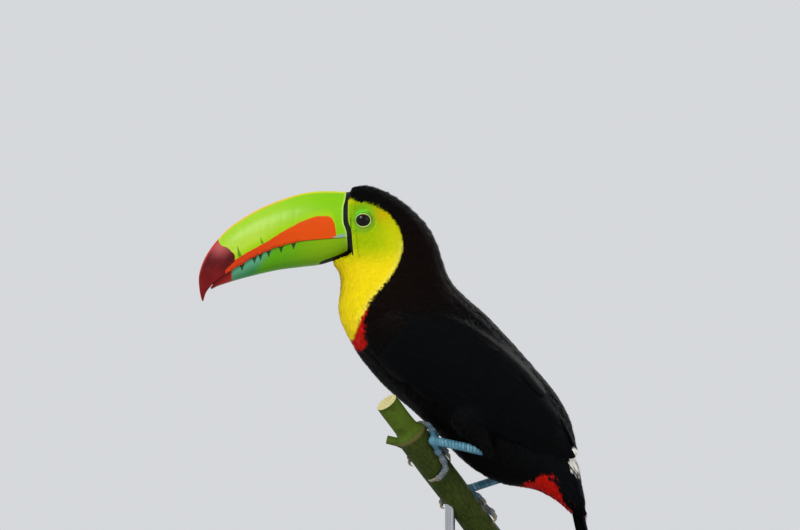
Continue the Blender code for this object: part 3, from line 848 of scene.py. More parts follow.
def walk(root, normal, way, length):
    """Four places along each feather, on the form, with the normal at each."""
    line = np.empty((len(root), STEPS + 1, 3))
    out = np.empty_like(line)
    line[:, 0] = root
    out[:, 0] = normal
    ahead = way.copy()
    for step in range(STEPS):
        here = out[:, step]
        ahead = unit(ahead - (ahead * here).sum(1, keepdims=True) * here)
        goal = line[:, step] + ahead * (length / STEPS)[:, None] * MM
        for k, point in enumerate(goal.tolist()):
            spot, up, _, far = form_tree.find_nearest(point)
            past_the_end = far > LEAVES_FORM
            line[k, step + 1] = point if past_the_end else spot
            out[k, step + 1] = here[k] if past_the_end else up
        out[:, step + 1] = unit(out[:, step + 1] + 0.5 * here)
    return line, out


# %% Walk them, and read the pattern where each feather is seen
SHARPEST_BEND = 0.35  # cosine of the angle between two steps of a line
turn = chance.normal(0, 0.1, len(root))
flat_side = np.cross(normal, way)
way = unit(way + flat_side * turn[:, None])
length = length * chance.uniform(0.85, 1.15, len(root))
line, out = walk(root, normal, way, length)
line[-edge_count:] = edge_line * MM
out[-edge_count:] = normal[-edge_count:, None]
seen = line[:, 2] / MM
seen = seen + chance.normal(0, 0.45, seen.shape) * ease(station, 11, 12.5)[:, None]
seen_station, seen_angle, _ = body_place(seen)
first, second = markings(seen, seen_station, seen_angle)
at_the_rear = seen_station > 12
first[at_the_rear, 1:3] = np.round(first[at_the_rear, 1:3])
segment = unit(line[:, 1:] - line[:, :-1])
bends = np.minimum((segment[:, 0] * segment[:, 1]).sum(1), (segment[:, 1] * segment[:, 2]).sum(1))
folded = (bends < SHARPEST_BEND) & (depth < 0)
tone = np.clip(chance.normal(0.5, 0.22, len(root)), 0, 1)
crest = ease(station, 0.2, 0.8) * ease(station, 7, 4) * ease(np.cos(angle), 0.55, 0.9) * (depth < -2)
wave = np.sin(place[:, 0] * 1.1 + 2 * np.sin(place[:, 1] * 0.6))
clumps = 0.5 + 0.5 * wave * np.sin(place[:, 1] * 0.45 + 0.8)
crest = crest * clumps * np.clip(chance.normal(1, 0.6, len(root)), 0, 2.4)
print("lines walked:", len(line), "raised on the crown and nape:", int((crest > 0.2).sum()))
print("left out, because they fold in a crease:", int(folded.sum()))

# %% [markdown]
# ## A feather as a fan of blades
#
# A small body feather has no crisp outline, because its barbs part at the tip. So each one is a fan of
# thin, pointed blades from one root, which overlaps its neighbours. Single leaf shapes were the other way,
# and they look like fish scales. The blades' normals follow the body more than the blades, so the coat
# catches light as one soft surface. Particle hair would be quicker to set up, but it isn't a mesh.

# %% One blade: a narrow kite with two points at each of three places along it, and one at its tip
AT = np.array([0, 0.36, 0.72, 1])
BLADE_WIDTH = np.array([0.5, 1, 0.78, 0])
BLADE_SHARE = 0.8  # a blade's width, as a share of an even division of the fan
SPREAD = np.array([0.35, 0.8, 1.05, 1.15])
BLADE_FACES = np.array([(0, 2, 3), (0, 3, 1), (2, 4, 5), (2, 5, 3), (4, 6, 5)])
BLADE_POINTS = 7
SIDE_SHORTER = 0.26  # how much shorter the outermost blades are
PATCH = 0.003  # a feather's size in the OFBake layer
print("a blade has", BLADE_POINTS, "points and", len(BLADE_FACES), "triangles")


# %% The fans of one coat
def fans(chosen, blades, width_share, root_depth, tip_height):
    """Points, normals and small offsets in the OFBake layer, for each chosen root, blade and point."""
    count = len(chosen)
    middle = line[chosen]
    up = out[chosen]
    ahead = unit(middle[:, 1:] - middle[:, :-1])
    ahead = np.concatenate([ahead, ahead[:, -1:]], 1)
    side = unit(np.cross(up, ahead))
    wide = length[chosen] * width_share * MM
    rise = np.stack([-root_depth + (root_depth + tip_height) * t**0.8 for t in AT])
    points = np.empty((count, blades, BLADE_POINTS, 3))
    shades = np.empty((count, blades, BLADE_POINTS, 3))
    spots = np.empty((count, blades, BLADE_POINTS, 2))
    row = np.arange(count)
    for b in range(blades):
        u = 2 * b / (blades - 1) - 1
        reach = 1 - SIDE_SHORTER * u * u + chance.uniform(-0.1, 0.06, count)
        lift = chance.uniform(-0.15, 0.25, count)
        for k in range(len(AT)):
            t = np.clip(AT[k] * reach, 0, 1) * STEPS
            i = np.minimum(t.astype(int), STEPS - 1)
            f = (t - i)[:, None]
            on_line = middle[row, i] * (1 - f) + middle[row, i + 1] * f
            n = unit(up[row, i] * (1 - f) + up[row, i + 1] * f)
            s = side[row, i]
            off = u * wide / 2 * SPREAD[k]
            height = (rise[k] + proud[chosen] + (lift + crest[chosen]) * AT[k] - 0.12 * abs(u)) * MM
            centre = on_line + s * off[:, None] + n * height[:, None]
            half = wide / blades * BLADE_SHARE * BLADE_WIDTH[k]
            shade = unit(n + s * (0.3 * u) + ahead[row, i] * (0.1 * AT[k]))
            for m, hand in enumerate((-1, 1) if k < 3 else (0,)):
                points[:, b, 2 * k + m] = centre + s * (hand * half)[:, None]
                shades[:, b, 2 * k + m] = shade
                spots[:, b, 2 * k + m] = np.array([u * 0.5 + hand * 0.08, AT[k] - 0.5])
    return points, shades, spots


def home_of(station, angle):
    """A root's place in the OFBake layer: its station along the body and its angle round it."""
    return np.stack([station / LAST, angle / (2 * math.pi) + 0.5], -1)


def lay_patches(mesh, faces, places):
    """The OFBake layer, in which each feather has a small patch of its own."""
    layer = mesh.uv_layers.new(name="OFBake")
    layer.data.foreach_set("uv", places[faces.ravel()].astype(np.float32).ravel())


# %% A piece of many fans
def add_coat(name, chosen, shape, material):
    """A piece with a fan of blades for each chosen root."""
    points, shades, spots = fans(chosen, *shape)
    count, blades = points.shape[:2]
    each = blades * BLADE_POINTS
    base = (np.arange(count * blades) * BLADE_POINTS)[:, None, None]
    faces = (base + BLADE_FACES[None]).reshape(-1, 3)
    mesh = mesh_from(points.reshape(-1, 3), faces)
    store_marks(mesh, *[np.repeat(v[chosen], each, axis=0) for v in (first, second, tone)])
    store(mesh, "along", np.tile(np.repeat(AT, (2, 2, 2, 1)), count * blades))
    homes = np.repeat(home_of(station[chosen], angle[chosen]), each, axis=0)
    lay_patches(mesh, faces, homes + PATCH * spots.reshape(-1, 2))
    mesh.normals_split_custom_set_from_vertices(shades.reshape(-1, 3))
    add_piece(name, mesh, material)
    print(name, count, "feathers,", len(faces), "triangles")


# %% Finish of the plumage: soft, with a cool sheen, and painted shade that makes each feather a little darker at its root
soft_plumage, g, shader = new_material(
    "soft_plumage", roughness=0.58, specular_ior_level=0.04, sheen_weight=0.007
)
shader["Sheen Tint"].default_value = rgb(210, 216, 230)
shader["Sheen Roughness"].default_value = 0.45
colour = mottled(g, plumage_colour(g), 420, 0.08)
# painted shade: each blade is darker towards its root, where the feathers over it would shade it
shadow = g.remap(g.value_of("along"), 0, 0.5, 0.8, 1)
grey = g.add("CombineColor", dict(Red=shadow, Green=shadow, Blue=shadow))
colour = g.mix(1, colour, grey, "MULTIPLY")
g.feed(shader["Base Color"], colour)
print("plumage finish:", len(soft_plumage.node_tree.nodes), "nodes")

# %% The coats: name, roots, and the fan's blades, width as a share of its length, root depth and tip height
wing_zone = on_wing & ~under_vanes
yellow_zone = (depth > 0) & ~on_wing
face_zone = yellow_zone & (place[:, 2] > 352)
bib_zone = yellow_zone & ~face_zone
head_zone = (station < 4.5) & ~yellow_zone & ~on_wing
neck_zone = (station >= 4.5) & (station < 8) & ~yellow_zone & ~on_wing & ~on_thigh
body_zone = (station >= 8) & (station < 13.2) & ~on_wing & ~on_thigh
covert_zone = (station >= 13.2) & ~on_wing & ~on_thigh
COATS = [
    ("coat_face", face_zone, (5, 0.62, 0.9, 0.05)),
    ("coat_bib", bib_zone, (7, 0.62, 0.9, 0.15)),
    ("coat_head", head_zone, (7, 0.58, 1.2, 0.6)),
    ("coat_neck", neck_zone, (9, 0.62, 1.4, 0.6)),
    ("coat_body", body_zone, (11, 0.66, 1.8, 0.3)),
    ("coat_rump", covert_zone, (11, 0.6, 1.8, 0.5)),
    ("coat_wing", wing_zone, (9, 0.66, 1.5, 0)),
    ("coat_wing_end", wing_end, (9, 0.66, 1.85, -1.15)),
    ("coat_thigh", on_thigh, (9, 0.62, 1.2, 0.3)),
]
for name, zone, shape in COATS:
    add_coat(name, np.flatnonzero(zone & ~folded), shape, soft_plumage)

# %% [markdown]
# ## Bill
#
# A toucan's bill is a thin horn shell over bony foam, far lighter than it looks. Its two halves close on a
# gape with a few teeth that point forwards. Both are lofted here from the rings that the solids have, at a
# finer pitch, so that they keep their shape. In front of the black band the horn swells into a low rim. The
# colours follow lines on the horn: each is a smooth curve through a few places, in millimetres, and the
# material asks which side of it a point is on. Painting a picture would be the usual way, but a line stays
# crisp when seen from very near.


# %% A loft of rings, closed at both ends
def loft(rings, sharp=None):
    """A closed mesh of squares through rings of points with an even count, turned outwards."""
    rings = np.asarray(rings, float)
    count, around = rings.shape[:2]
    sides = strip_faces(count, around, True)
    k = np.arange(around // 2 - 1)
    cap = np.stack([k, k + 1, around - 2 - k, around - 1 - k], 1)
    faces = np.concatenate([sides, cap[:, ::-1], cap + (count - 1) * around])
    points = rings.reshape(-1, 3)
    corners = points[faces]
    middle = points.mean(0)
    crossed = np.cross(corners[:, 1] - corners[:, 0], corners[:, 2] - corners[:, 0])
    if ((corners[:, 0] - middle) * crossed).sum() < 0:
        faces = faces[:, ::-1]
    mesh = mesh_from(points, faces)
    if sharp:
        mesh.set_sharp_from_angle(angle=math.radians(sharp))
    return mesh


# %% Rings of the two halves, in millimetres: x and z at the ridge, x and z at the edge, half width
UPPER_BILL = np.array([
    (-83.5, 416, -83.5, 380, 18.4), (-105.6, 416.8, -105.6, 378.4, 17.4),
    (-122.4, 414.8, -124, 376.6, 16.2), (-139.2, 409.8, -140.8, 372.4, 15),
    (-155.2, 403.2, -156.8, 366.2, 13.6), (-168.8, 395.6, -169.2, 359.2, 12.2),
    (-181.6, 386.4, -177.6, 354, 10.8), (-192.4, 374.8, -185.2, 349.2, 9),
    (-200.4, 362.8, -191.6, 344.4, 7), (-204.8, 349.6, -196.4, 339.6, 4.8),
    (-204.4, 337.6, -199.6, 334.8, 2.6), (-202.6, 329.4, -201.4, 328.6, 0.8),
])
LOWER_BILL = np.array([
    (-83.5, 366.1, -83.5, 379.7, 17.8), (-105.6, 358.4, -105.6, 378.1, 16.6),
    (-122.4, 356, -124, 376.3, 15.2), (-140, 353.8, -140.8, 372.1, 13.6),
    (-154.4, 350.8, -156.8, 365.9, 12), (-166.4, 347.8, -169.2, 358.9, 10.4),
    (-175.2, 345.4, -177.6, 353.7, 8.8), (-183.2, 342.9, -185.2, 348.9, 6.8),
    (-190, 340.6, -191.7, 344, 4.6), (-194.8, 338.2, -195.6, 339.4, 2.2),
])
TEETH = [(-128.3, 0.9), (-138.3, 1.1), (-148.2, 1.1), (-154.8, 1), (-159.6, 0.9), (-169.5, 1)]
print("the bill's rings:", len(UPPER_BILL), "and", len(LOWER_BILL), "with", len(TEETH), "teeth")


# %% One half of the bill
RING_POINTS = 65
FLOOR_POINTS = 7
INTO_HEAD = 3


def bill_half(rings, keel, onto_chin):
    """The half's mesh. It also stores how far each point is from the gape, and how far up the ridge."""
    position = np.concatenate([np.arange(0, 0.36, 0.015), np.linspace(0.36, len(rings) - 1, 150)])
    ridge = spline(rings[:, :2], position)
    edge = spline(rings[:, 2:4], position)
    half = spline(rings[:, 4], position)
    for tooth, deep in TEETH:
        edge[:, 1] -= deep * np.clip(1 - np.abs(edge[:, 0] - tooth + 0.5) / 1.7, 0, 1)
    inwards = 0.04 * (edge[0] - ridge[0])
    ridge = np.vstack([ridge[:1] + [INTO_HEAD, 0] + inwards, ridge])
    edge = np.vstack([edge[:1] + [INTO_HEAD, 0], edge])
    half = np.append(half[0] - 0.5, half)
    turn = np.linspace(0, math.pi, RING_POINTS)
    rise = np.sin(turn)
    outer = np.empty((len(half), RING_POINTS, 3))
    outer[..., 0] = edge[:, None, 0] + (ridge - edge)[:, None, 0] * rise
    outer[..., 1] = half[:, None] * np.cos(turn) * (1 - keel * rise**6)
    outer[..., 2] = edge[:, None, 1] + (ridge - edge)[:, None, 1] * rise
    outer[..., 2] -= onto_chin * ease(outer[..., 0], -99, -95) * rise**3
    share = np.linspace(0, 1, FLOOR_POINTS + 2)[1:-1]
    inner = outer[:, -1:, :] * (1 - share[:, None]) + outer[:, :1, :] * share[:, None]
    inner += (ridge - edge)[:, None, [0, 0, 1]] * [1, 0, 1] * (0.1 * np.sin(share * math.pi))[:, None]
    whole = np.concatenate([outer, inner], 1)
    mesh = loft(whole * MM, 50)
    tall = np.hypot(*(ridge - edge).T)
    rise = np.append(rise, np.zeros(FLOOR_POINTS))
    store(mesh, "above", np.outer(tall, rise))
    store(mesh, "rise", np.tile(rise, len(half)))
    return mesh


RIM_HEIGHT = 0.18
BAND_SINK = 0.22


def swell_at_band(mesh):
    """Raises the horn's rim in front of the black band, and sinks the band a little."""
    points = points_of(mesh) / MM
    past = points[:, 0] - np.interp(points[:, 2], BAND_HEIGHTS, BAND_FRONT)
    rim = RIM_HEIGHT * np.exp(-(((past + 0.9) / 0.8) ** 2))
    sunk = BAND_SINK * ease(past, -0.2, 0.5) * ease(past, 4.2, 3.2)
    points += normals_of(mesh) * (rim - sunk)[:, None]
    set_points(mesh, points * MM)


upper_mesh = bill_half(UPPER_BILL, KEEL, 0)
lower_mesh = bill_half(LOWER_BILL, 0, 0.9)
swell_at_band(upper_mesh)
swell_at_band(lower_mesh)
print("bill halves:", len(upper_mesh.polygons), len(lower_mesh.polygons), "faces")


# %% Lines drawn on a surface
def side_view(g):
    """x and z of each place, in millimetres."""
    parts = g.split(g.object_place())
    return g.times(parts["X"], 1000), g.times(parts["Z"], 1000)


def line_through(g, value, places):
    """The second number of a smooth line through (first, second) places, where the first is this value."""
    firsts = [p[0] for p in places]
    seconds = [p[1] for p in places]
    low, high = min(seconds), max(seconds)
    flat = [((a - firsts[0]) / (firsts[-1] - firsts[0]), (b - low) / (high - low)) for a, b in places]
    share = g.remap(value, firsts[0], firsts[-1], smooth=False)
    return g.remap(g.curve(share, flat), 0, 1, low, high, smooth=False)


def over(g, value, line, soft=0.4):
    """1 where the value is over the line, 0 where it is under it, with a soft step of this width."""
    return g.remap(g.minus(value, line), -soft, soft)


def both(g, *masks):
    whole = masks[0]
    for mask in masks[1:]:
        whole = g.times(whole, mask)
    return whole


def spot(g, first, second, place, size):
    """A patch that fades out evenly from a place, seen from the side."""
    a = g.divide(g.minus(first, place[0]), size[0])
    b = g.divide(g.minus(second, place[1]), size[1])
    far = g.math("SQRT", g.plus(g.times(a, a), g.times(b, b)))
    return g.remap(far, 1.6, 0.1)


# %% What the bill's finishes share
BAND_BLACK = rgb(14, 14, 15)
CRISP = 0.25  # half the width of the band's edges
HORN_LOOK = dict(roughness=0.32, specular_ior_level=0.11, coat_weight=0.06, coat_roughness=0.2)


def band_edge(g, z, edge_xs):
    return line_through(g, z, list(zip(BAND_HEIGHTS, edge_xs)))


# %% Horn, an effect that the bill's halves and the claws share
HORN, g, start, end = new_group(
    "horn_growth", dict(Color="Color", Place="Vector", Amount=0.12), dict(Color="Color", Height="Float")
)
streaks = g.noise(1, 4, 0.6, place=g.stretch((60, 420, 420), start["Place"]))
layers = g.noise(1, 2, 0.5, place=g.stretch((900, 90, 90), start["Place"]))
both_ways = g.plus(g.times(streaks, 0.78), g.times(layers, 0.22))
swing = g.times(g.minus(both_ways, 0.5), g.times(start["Amount"], 3))
g.feed(end["Color"], g.brighten(start["Color"], g.plus(swing, 1)))
g.feed(end["Height"], both_ways)


def finish_horn(g, shader, colour, amount, depth):
    grown = g.group(HORN, Color=colour, Place=g.object_place(), Amount=amount)
    give_finish(g, shader, grown["Color"], grown["Height"], depth)


# %% Upper half: green, with an orange flash, a yellow ridge and a red tip that carries a painted highlight
upper_horn, g, shader = new_material("upper_bill_horn", **HORN_LOOK)
x, z = side_view(g)
above = g.value_of("above")
wander = g.times(g.minus(g.noise(160), 0.5), 1.6)
colour = g.mix(g.remap(x, -96, -168), rgb(128, 188, 4), rgb(168, 202, 52))
colour = g.mix(g.remap(g.value_of("rise"), 0.35, 0.9, 0, 0.35), colour, rgb(112, 186, 0))
flash_top = line_through(g, x, [
    (-182, 356), (-174.7, 362.3), (-167.8, 366.6), (-158.2, 371.8), (-146.1, 378.8), (-138.3, 384),
    (-129.6, 388.3), (-118.3, 393.9), (-107.9, 396.5), (-100, 396), (-97, 392.5), (-95.3, 386),
    (-94.6, 376),
])
flash = over(g, g.plus(flash_top, wander), z, 0.6)
colour = g.mix(g.times(g.minus(1, flash), over(g, flash_top, g.minus(z, 4), 3)),
               colour, rgb(150, 196, 0))
colour = g.mix(flash, colour, g.mix(g.remap(x, -120, -172), rgb(212, 72, 0), rgb(196, 54, 6)))
slant = g.remap(x, -99, -90, 0.9, 2.9)
pale_corner = both(g, g.remap(x, -99.5, -94), g.remap(g.minus(above, slant), 0.3, -0.3))
colour = g.mix(g.times(pale_corner, 0.85), colour, rgb(128, 160, 142))
seam = both(g, g.remap(above, 0.5, 0.8), g.remap(above, 1.6, 1.2), g.remap(x, -122, -127))
seam = both(g, seam, g.remap(g.noise(700), 0.42, 0.52))
colour = g.mix(g.times(seam, 0.8), colour, rgb(120, 34, 6))
for foot, height, width, lean in [((-153.6, 374.6), 5.2, 2.2, -1.6), ((-171.6, 364.2), 8.4, 3.2, -2.2)]:
    up = g.divide(g.minus(z, foot[1]), height)
    off = g.minus(g.minus(x, foot[0]), g.times(up, lean))
    half = g.times(g.minus(1, up), width / 2)
    thorn = both(g, g.remap(g.minus(g.math("ABSOLUTE", off), half), 0.5, -0.3), g.remap(up, -0.15, 0.1))
    colour = g.mix(g.times(thorn, 0.75), colour, rgb(58, 96, 6))
ridge_line = g.remap(g.value_of("rise"), 0.95, 0.975)
colour = g.mix(ridge_line, colour, g.mix(g.remap(x, -110, -150), rgb(196, 200, 20), rgb(222, 176, 34)))
tip_edge = line_through(g, z, [
    (328, -176), (345, -180), (352, -183.5), (355, -181.6), (358.5, -178.2), (363.1, -175.6),
    (368.4, -178.6), (371.8, -182.5), (373.6, -187), (378, -189.3), (386, -190), (400, -192),
])
tip = over(g, g.plus(tip_edge, g.times(wander, 0.5)), x, 0.5)
red = g.mix(g.remap(g.noise(90), 0.35, 0.65), rgb(104, 20, 24), rgb(72, 7, 11))
red = g.mix(g.remap(z, 366, 342, 0, 0.7), red, rgb(118, 14, 12))
# painted highlight: a pale pink patch on the tip's upper rear part, standing in for the sky's reflection
red = g.mix(g.times(spot(g, x, z, (-188.5, 374), (9, 9)), 0.85), red, rgb(184, 84, 84))
red = g.mix(g.remap(g.value_of("rise"), 0.88, 0.99), red, rgb(186, 34, 22))
colour = g.mix(tip, colour, red)
band_front = band_edge(g, z, BAND_FRONT)
colour = g.mix(g.remap(g.minus(x, band_front), -1.6, -0.5), colour, rgb(176, 216, 88))
band = over(g, x, band_front, CRISP)
colour = g.mix(band, colour, BAND_BLACK)
skin_at_ridge = g.mix(g.remap(z, 407, 409), rgb(172, 197, 3), rgb(10, 10, 10))
colour = g.mix(over(g, x, band_edge(g, z, BAND_REAR), CRISP), colour, skin_at_ridge)
g.feed(shader["Coat Weight"], g.remap(band, 0, 1, 0.06, 0.03))
g.feed(shader["Roughness"], g.remap(band, 0, 1, 0.3, 0.46))
finish_horn(g, shader, colour, 0.08, 0.00012)
add_piece("bill_upper_horn", upper_mesh, upper_horn, ["bill_upper"])

# %% Lower half: green, bluer in front, red at the tip, with dark ticks under the teeth and a black chin
lower_horn, g, shader = new_material("lower_bill_horn", **HORN_LOOK)
x, z = side_view(g)
below = g.value_of("above")
wander = g.times(g.minus(g.noise(160), 0.5), 2)
colour = g.mix(g.remap(x, -100, -145), rgb(124, 166, 0), rgb(88, 160, 6))
colour = g.mix(g.remap(g.value_of("rise"), 0.55, 1, 0, 0.5), colour, rgb(66, 132, 0))
blue = g.remap(g.plus(x, g.times(below, 0.9)), -141, -155)
blues = g.mix(g.remap(below, 2, 12), rgb(86, 156, 128), rgb(46, 130, 68))
colour = g.mix(g.times(blue, 0.9), colour, blues)
for tooth, deep in TEETH:
    side = g.divide(g.math("ABSOLUTE", g.minus(x, tooth - 0.5)), 2.2)
    tick = g.plus(side, g.divide(below, 4.2 + deep))
    colour = g.mix(g.remap(g.plus(tick, g.times(wander, 0.12)), 1.02, 0.8), colour, rgb(34, 74, 30))
reds = g.mix(g.remap(below, 1, 5), rgb(128, 18, 18), rgb(160, 30, 22))
colour = g.mix(g.remap(x, -177, -179.5), colour, reds)
band_front = band_edge(g, z, BAND_FRONT)
colour = g.mix(g.remap(g.minus(x, band_front), -1.6, -0.5), colour, rgb(150, 190, 60))
band = over(g, x, band_front, CRISP)
colour = g.mix(band, colour, BAND_BLACK)
chin_line = line_through(g, x, [
    (-109, 357.9), (-107.5, 359.9), (-99.2, 363.4), (-90.6, 366.8), (-82, 371.5),
])
chin = both(g, over(g, chin_line, z, CRISP), g.remap(x, -109.5, -107.5))
colour = g.mix(chin, colour, BAND_BLACK)
dull = g.math("MAXIMUM", band, chin)
g.feed(shader["Coat Weight"], g.remap(dull, 0, 1, 0.06, 0.02))
g.feed(shader["Roughness"], g.remap(dull, 0, 1, 0.32, 0.6))
finish_horn(g, shader, colour, 0.08, 0.00012)
add_piece("bill_lower_horn", lower_mesh, lower_horn, ["bill_lower"])
print("horn finishes:", len(upper_horn.node_tree.nodes), "and", len(lower_horn.node_tree.nodes), "nodes")

# %% The dark lining, painted near black as the shade inside the mouth, which is all that shows in the narrow gape
LINING_INSET = 0.9
LINING_HALF = 1.4  # half its height: it reaches a little way into both halves of the bill
position = np.linspace(0, 8.4, 70)
gape = spline(UPPER_BILL[:, 2:4], position)
gape_half = np.minimum(spline(UPPER_BILL[:, 4], position), spline(LOWER_BILL[:, 4], position))
gape_half -= LINING_INSET
turn = full_turn(24)
lining_rings = np.empty((len(position), 24, 3))
lining_rings[..., 0] = gape[:, None, 0]
lining_rings[..., 1] = gape_half[:, None] * np.clip(1.2 * np.cos(turn), -1, 1)
lining_rings[..., 2] = gape[:, None, 1] - 0.7 + LINING_HALF * np.clip(1.5 * np.sin(turn), -1, 1)
mouth_lining, g, shader = new_material("mouth_lining", roughness=0.7, specular_ior_level=0.1)
damp = g.noise(300)
# painted shade: the lining is real, but its near-black colour stands for the shade inside the closed bill
g.feed(shader["Base Color"], g.mix(damp, rgb(20, 12, 10), rgb(44, 26, 20)))
add_piece("mouth_lining", loft(lining_rings * MM, 50), mouth_lining)
print("lining of the gape:", round(float(np.ptp(gape[:, 0]))), "mm long")

# %% [markdown]
# ## Bare skin: a collar at the bill and a ring round each eye
#
# Between horn and feathers a toucan has a narrow collar of bare skin, black where the band runs. Round the
# eye the skin is bare too: a thin pale lid edge grips the eyeball, and finely wrinkled green skin spreads
# from it. Both are strips of squares laid onto the form by casting rays at it, so they follow the head's
# true curve.

# %% The collar's rows: the places along the bird, and how far each lies above the surface
behind = np.maximum(FORM_FRONT, rear_of_band(outline[:, 1]) + 0.2)
collar_rows = [
    (np.full(len(outline), -86.4), -0.3),
    (np.full(len(outline), -84.9), 0.1),
    (behind - 1.6, 0.2),
    (behind - 0.8, 0.15),
    (behind, 0.05),
    (behind + 1, -0.8),
]
strips = np.array([behind_bill(outline, xs, above_form)[0] for xs, above_form in collar_rows])
print("collar:", len(strips), "rows of", len(outline), "points")


# %% The collar
collar_place = strips.reshape(-1, 3)
collar_mesh = mesh_from(collar_place * MM, strip_faces(len(strips), len(outline)))
collar_place[:, 0] = np.tile(behind + 1.5, len(strips))
collar_station, collar_angle, _ = body_place(collar_place)
marks_there = markings(collar_place, collar_station, collar_angle)
store_marks(collar_mesh, *marks_there, np.full(len(collar_place), 0.4))
bare_skin, g, shader = new_material("bare_skin", roughness=0.5, specular_ior_level=0.15)
x, z = side_view(g)
band = both(g, over(g, x, band_edge(g, z, BAND_FRONT), CRISP), over(g, band_edge(g, z, BAND_REAR), x, CRISP))
colour = g.mix(band, plumage_colour(g), BAND_BLACK)
pimples = g.noise(1500)
give_finish(g, shader, mottled(g, colour, 300, 0.12), pimples, 0.0002)
add_piece("bill_collar", collar_mesh, bare_skin)
print("collar:", len(collar_mesh.polygons), "faces")

# %% Skin round each eye
SIDES = (("left", -1), ("right", 1))
LID = (6.1, 5.1)
LID_INSIDE = 0.55
LID_RISE = 0.75
SKIN_EDGE = (9.7, 9.6)
SKIN_SPOKES, SKIN_ROWS = 96, 22
BALL_RADIUS = 8.45


def height_at_eye(x, z, t, angle_here, side):
    """How far out the skin lies: on the ball or on the form, whichever is farther out, with lid and folds."""
    over_form = max(x, FORM_FRONT) * MM
    hit_here, _ = form_hit((over_form, side * 0.08, z * MM), (over_form, 0, z * MM))
    off = math.hypot(x - EYE[0], z - EYE[2])
    ball = EYE[1] + math.sqrt(max((BALL_RADIUS + 0.15) ** 2 - off**2, 0))
    flat = abs(hit_here[1]) / MM
    lid = LID_RISE * math.exp(-(((t - 0.15) / 0.11) ** 2))
    ripples = math.sin(t * 30 + 1.5 * math.sin(3 * angle_here))
    fold = 0.12 * ripples * ease(t, 0.2, 0.4) * ease(t, 1, 0.7)
    base = max(flat, ball) + 0.25 * math.exp(-(((flat - ball) / 0.8) ** 2))
    if t < 0.05:
        base = ball - 0.6
    return base + lid + fold + 0.15 - 1 * ease(t, 0.86, 1)


def eye_skin(side):
    """A strip from inside the lid's edge, over it, and out over the bare skin, to just under the coat."""
    theta = full_turn(SKIN_SPOKES)
    inner = np.array(LID) - LID_INSIDE
    points = []
    for t in np.arange(SKIN_ROWS) / (SKIN_ROWS - 1):
        reach_z = inner[1] + (SKIN_EDGE[1] - inner[1]) * t
        for angle_here in theta:
            widest = SKIN_EDGE[0] - 1.4 * max(-math.cos(angle_here), 0)
            reach_x = inner[0] + (widest - inner[0]) * t
            x = EYE[0] + reach_x * math.cos(angle_here)
            z = EYE[2] + reach_z * math.sin(angle_here)
            points.append((x, side * height_at_eye(x, z, t, angle_here, side), z))
    faces = strip_faces(SKIN_ROWS, SKIN_SPOKES, True)
    if side > 0:
        faces = faces[:, ::-1]
    mesh = mesh_from(np.array(points) * MM, faces)
    store(mesh, "outward", np.repeat(np.linspace(0, 1, SKIN_ROWS), SKIN_SPOKES))
    return mesh


# %% Its finish: green, yellower behind, with painted shade just behind the eye, a pale lid edge and a dark rim at the ball
orbital_skin, g, shader = new_material(
    "orbital_skin", roughness=0.45, specular_ior_level=0.14, coat_weight=0.02
)
x, z = side_view(g)
outward = g.value_of("outward")
towards_bill = g.minus(z, g.plus(x, float(EYE[2] - EYE[0])))
colour = g.mix(g.remap(towards_bill, -7, 9), rgb(122, 156, 4), rgb(96, 196, 30))
# painted shade: darker olive just behind the eye, as if the socket shaded it
colour = g.mix(g.remap(x, float(EYE[0]) + 1, float(EYE[0]) + 8, 0, 0.65), colour, rgb(98, 140, 2))
colour = g.mix(g.remap(outward, 0.62, 1, 0, 0.8), colour, rgb(150, 192, 10))
colour = g.mix(g.remap(outward, 0.4, 0.3), colour, rgb(70, 112, 10))
lid_edge = both(g, g.remap(outward, 0.26, 0.22), g.remap(outward, 0.03, 0.06))
colour = g.mix(lid_edge, colour, rgb(180, 208, 108))
colour = g.mix(g.remap(outward, 0.04, 0.015), colour, rgb(10, 12, 8))
wrinkles = g.noise(1100, 4, 0.7)
give_finish(g, shader, mottled(g, colour, 420, 0.2), wrinkles, 0.0004)
for hand, side in SIDES:
    add_piece(f"eye_skin_{hand}", eye_skin(side), orbital_skin)
print("skin round each eye:", SKIN_SPOKES * (SKIN_ROWS - 1), "faces")

# %% [markdown]
# ## Eyes
#
# A toucan's iris is so dark that only its edge tells it from the pupil. What makes the eye alive is the wet
# cornea, so the ball is smooth, nearly black, and has a clear coat over a duller iris. The ball is a turned
# shape about the line of sight, with the cornea's slight bulge, in place of the ready-made sphere.


# %% The eyeballs
CORNEA = 0.35
PUPIL = 3.75


def eyeball(side):
    """A ball turned about the line of sight, with the cornea as a slight bulge."""
    turn = np.linspace(0.02, math.pi - 0.02, 40)
    theta = full_turn(48)
    radius = BALL_RADIUS + CORNEA * np.exp(-((turn / 0.55) ** 2))
    rings = np.empty((len(turn), 48, 3))
    rings[..., 0] = EYE[0] + (radius * np.sin(turn))[:, None] * np.cos(theta)
    rings[..., 1] = side * (EYE[1] + (radius * np.cos(turn))[:, None] + 0 * theta)
    rings[..., 2] = EYE[2] + (radius * np.sin(turn))[:, None] * np.sin(theta)
    return loft(rings * MM)


eye_wet, g, shader = new_material(
    "eye", roughness=0.3, specular_ior_level=0.05, coat_weight=0.3, coat_roughness=0.03
)
x, z = side_view(g)
from_middle = g.math("SQRT", g.plus(g.math("POWER", g.math("ABSOLUTE", g.minus(x, EYE[0])), 2),
                                    g.math("POWER", g.math("ABSOLUTE", g.minus(z, EYE[2])), 2)))
rays = g.noise(1, 5, 0.7, place=g.stretch((500, 60, 500)))
iris = g.mix(rays, rgb(10, 7, 5), rgb(30, 18, 10))
colour = g.mix(g.remap(from_middle, PUPIL + 0.15, PUPIL - 0.15), iris, rgb(3, 3, 3))
g.feed(shader["Base Color"], colour)
for hand, side in SIDES:
    add_piece(f"eyeball_{hand}", eyeball(side), eye_wet, [f"eye_{hand}"])
print("eyes are", 2 * BALL_RADIUS, "mm across, and show", 2 * LID[0], "by", 2 * LID[1], "mm")

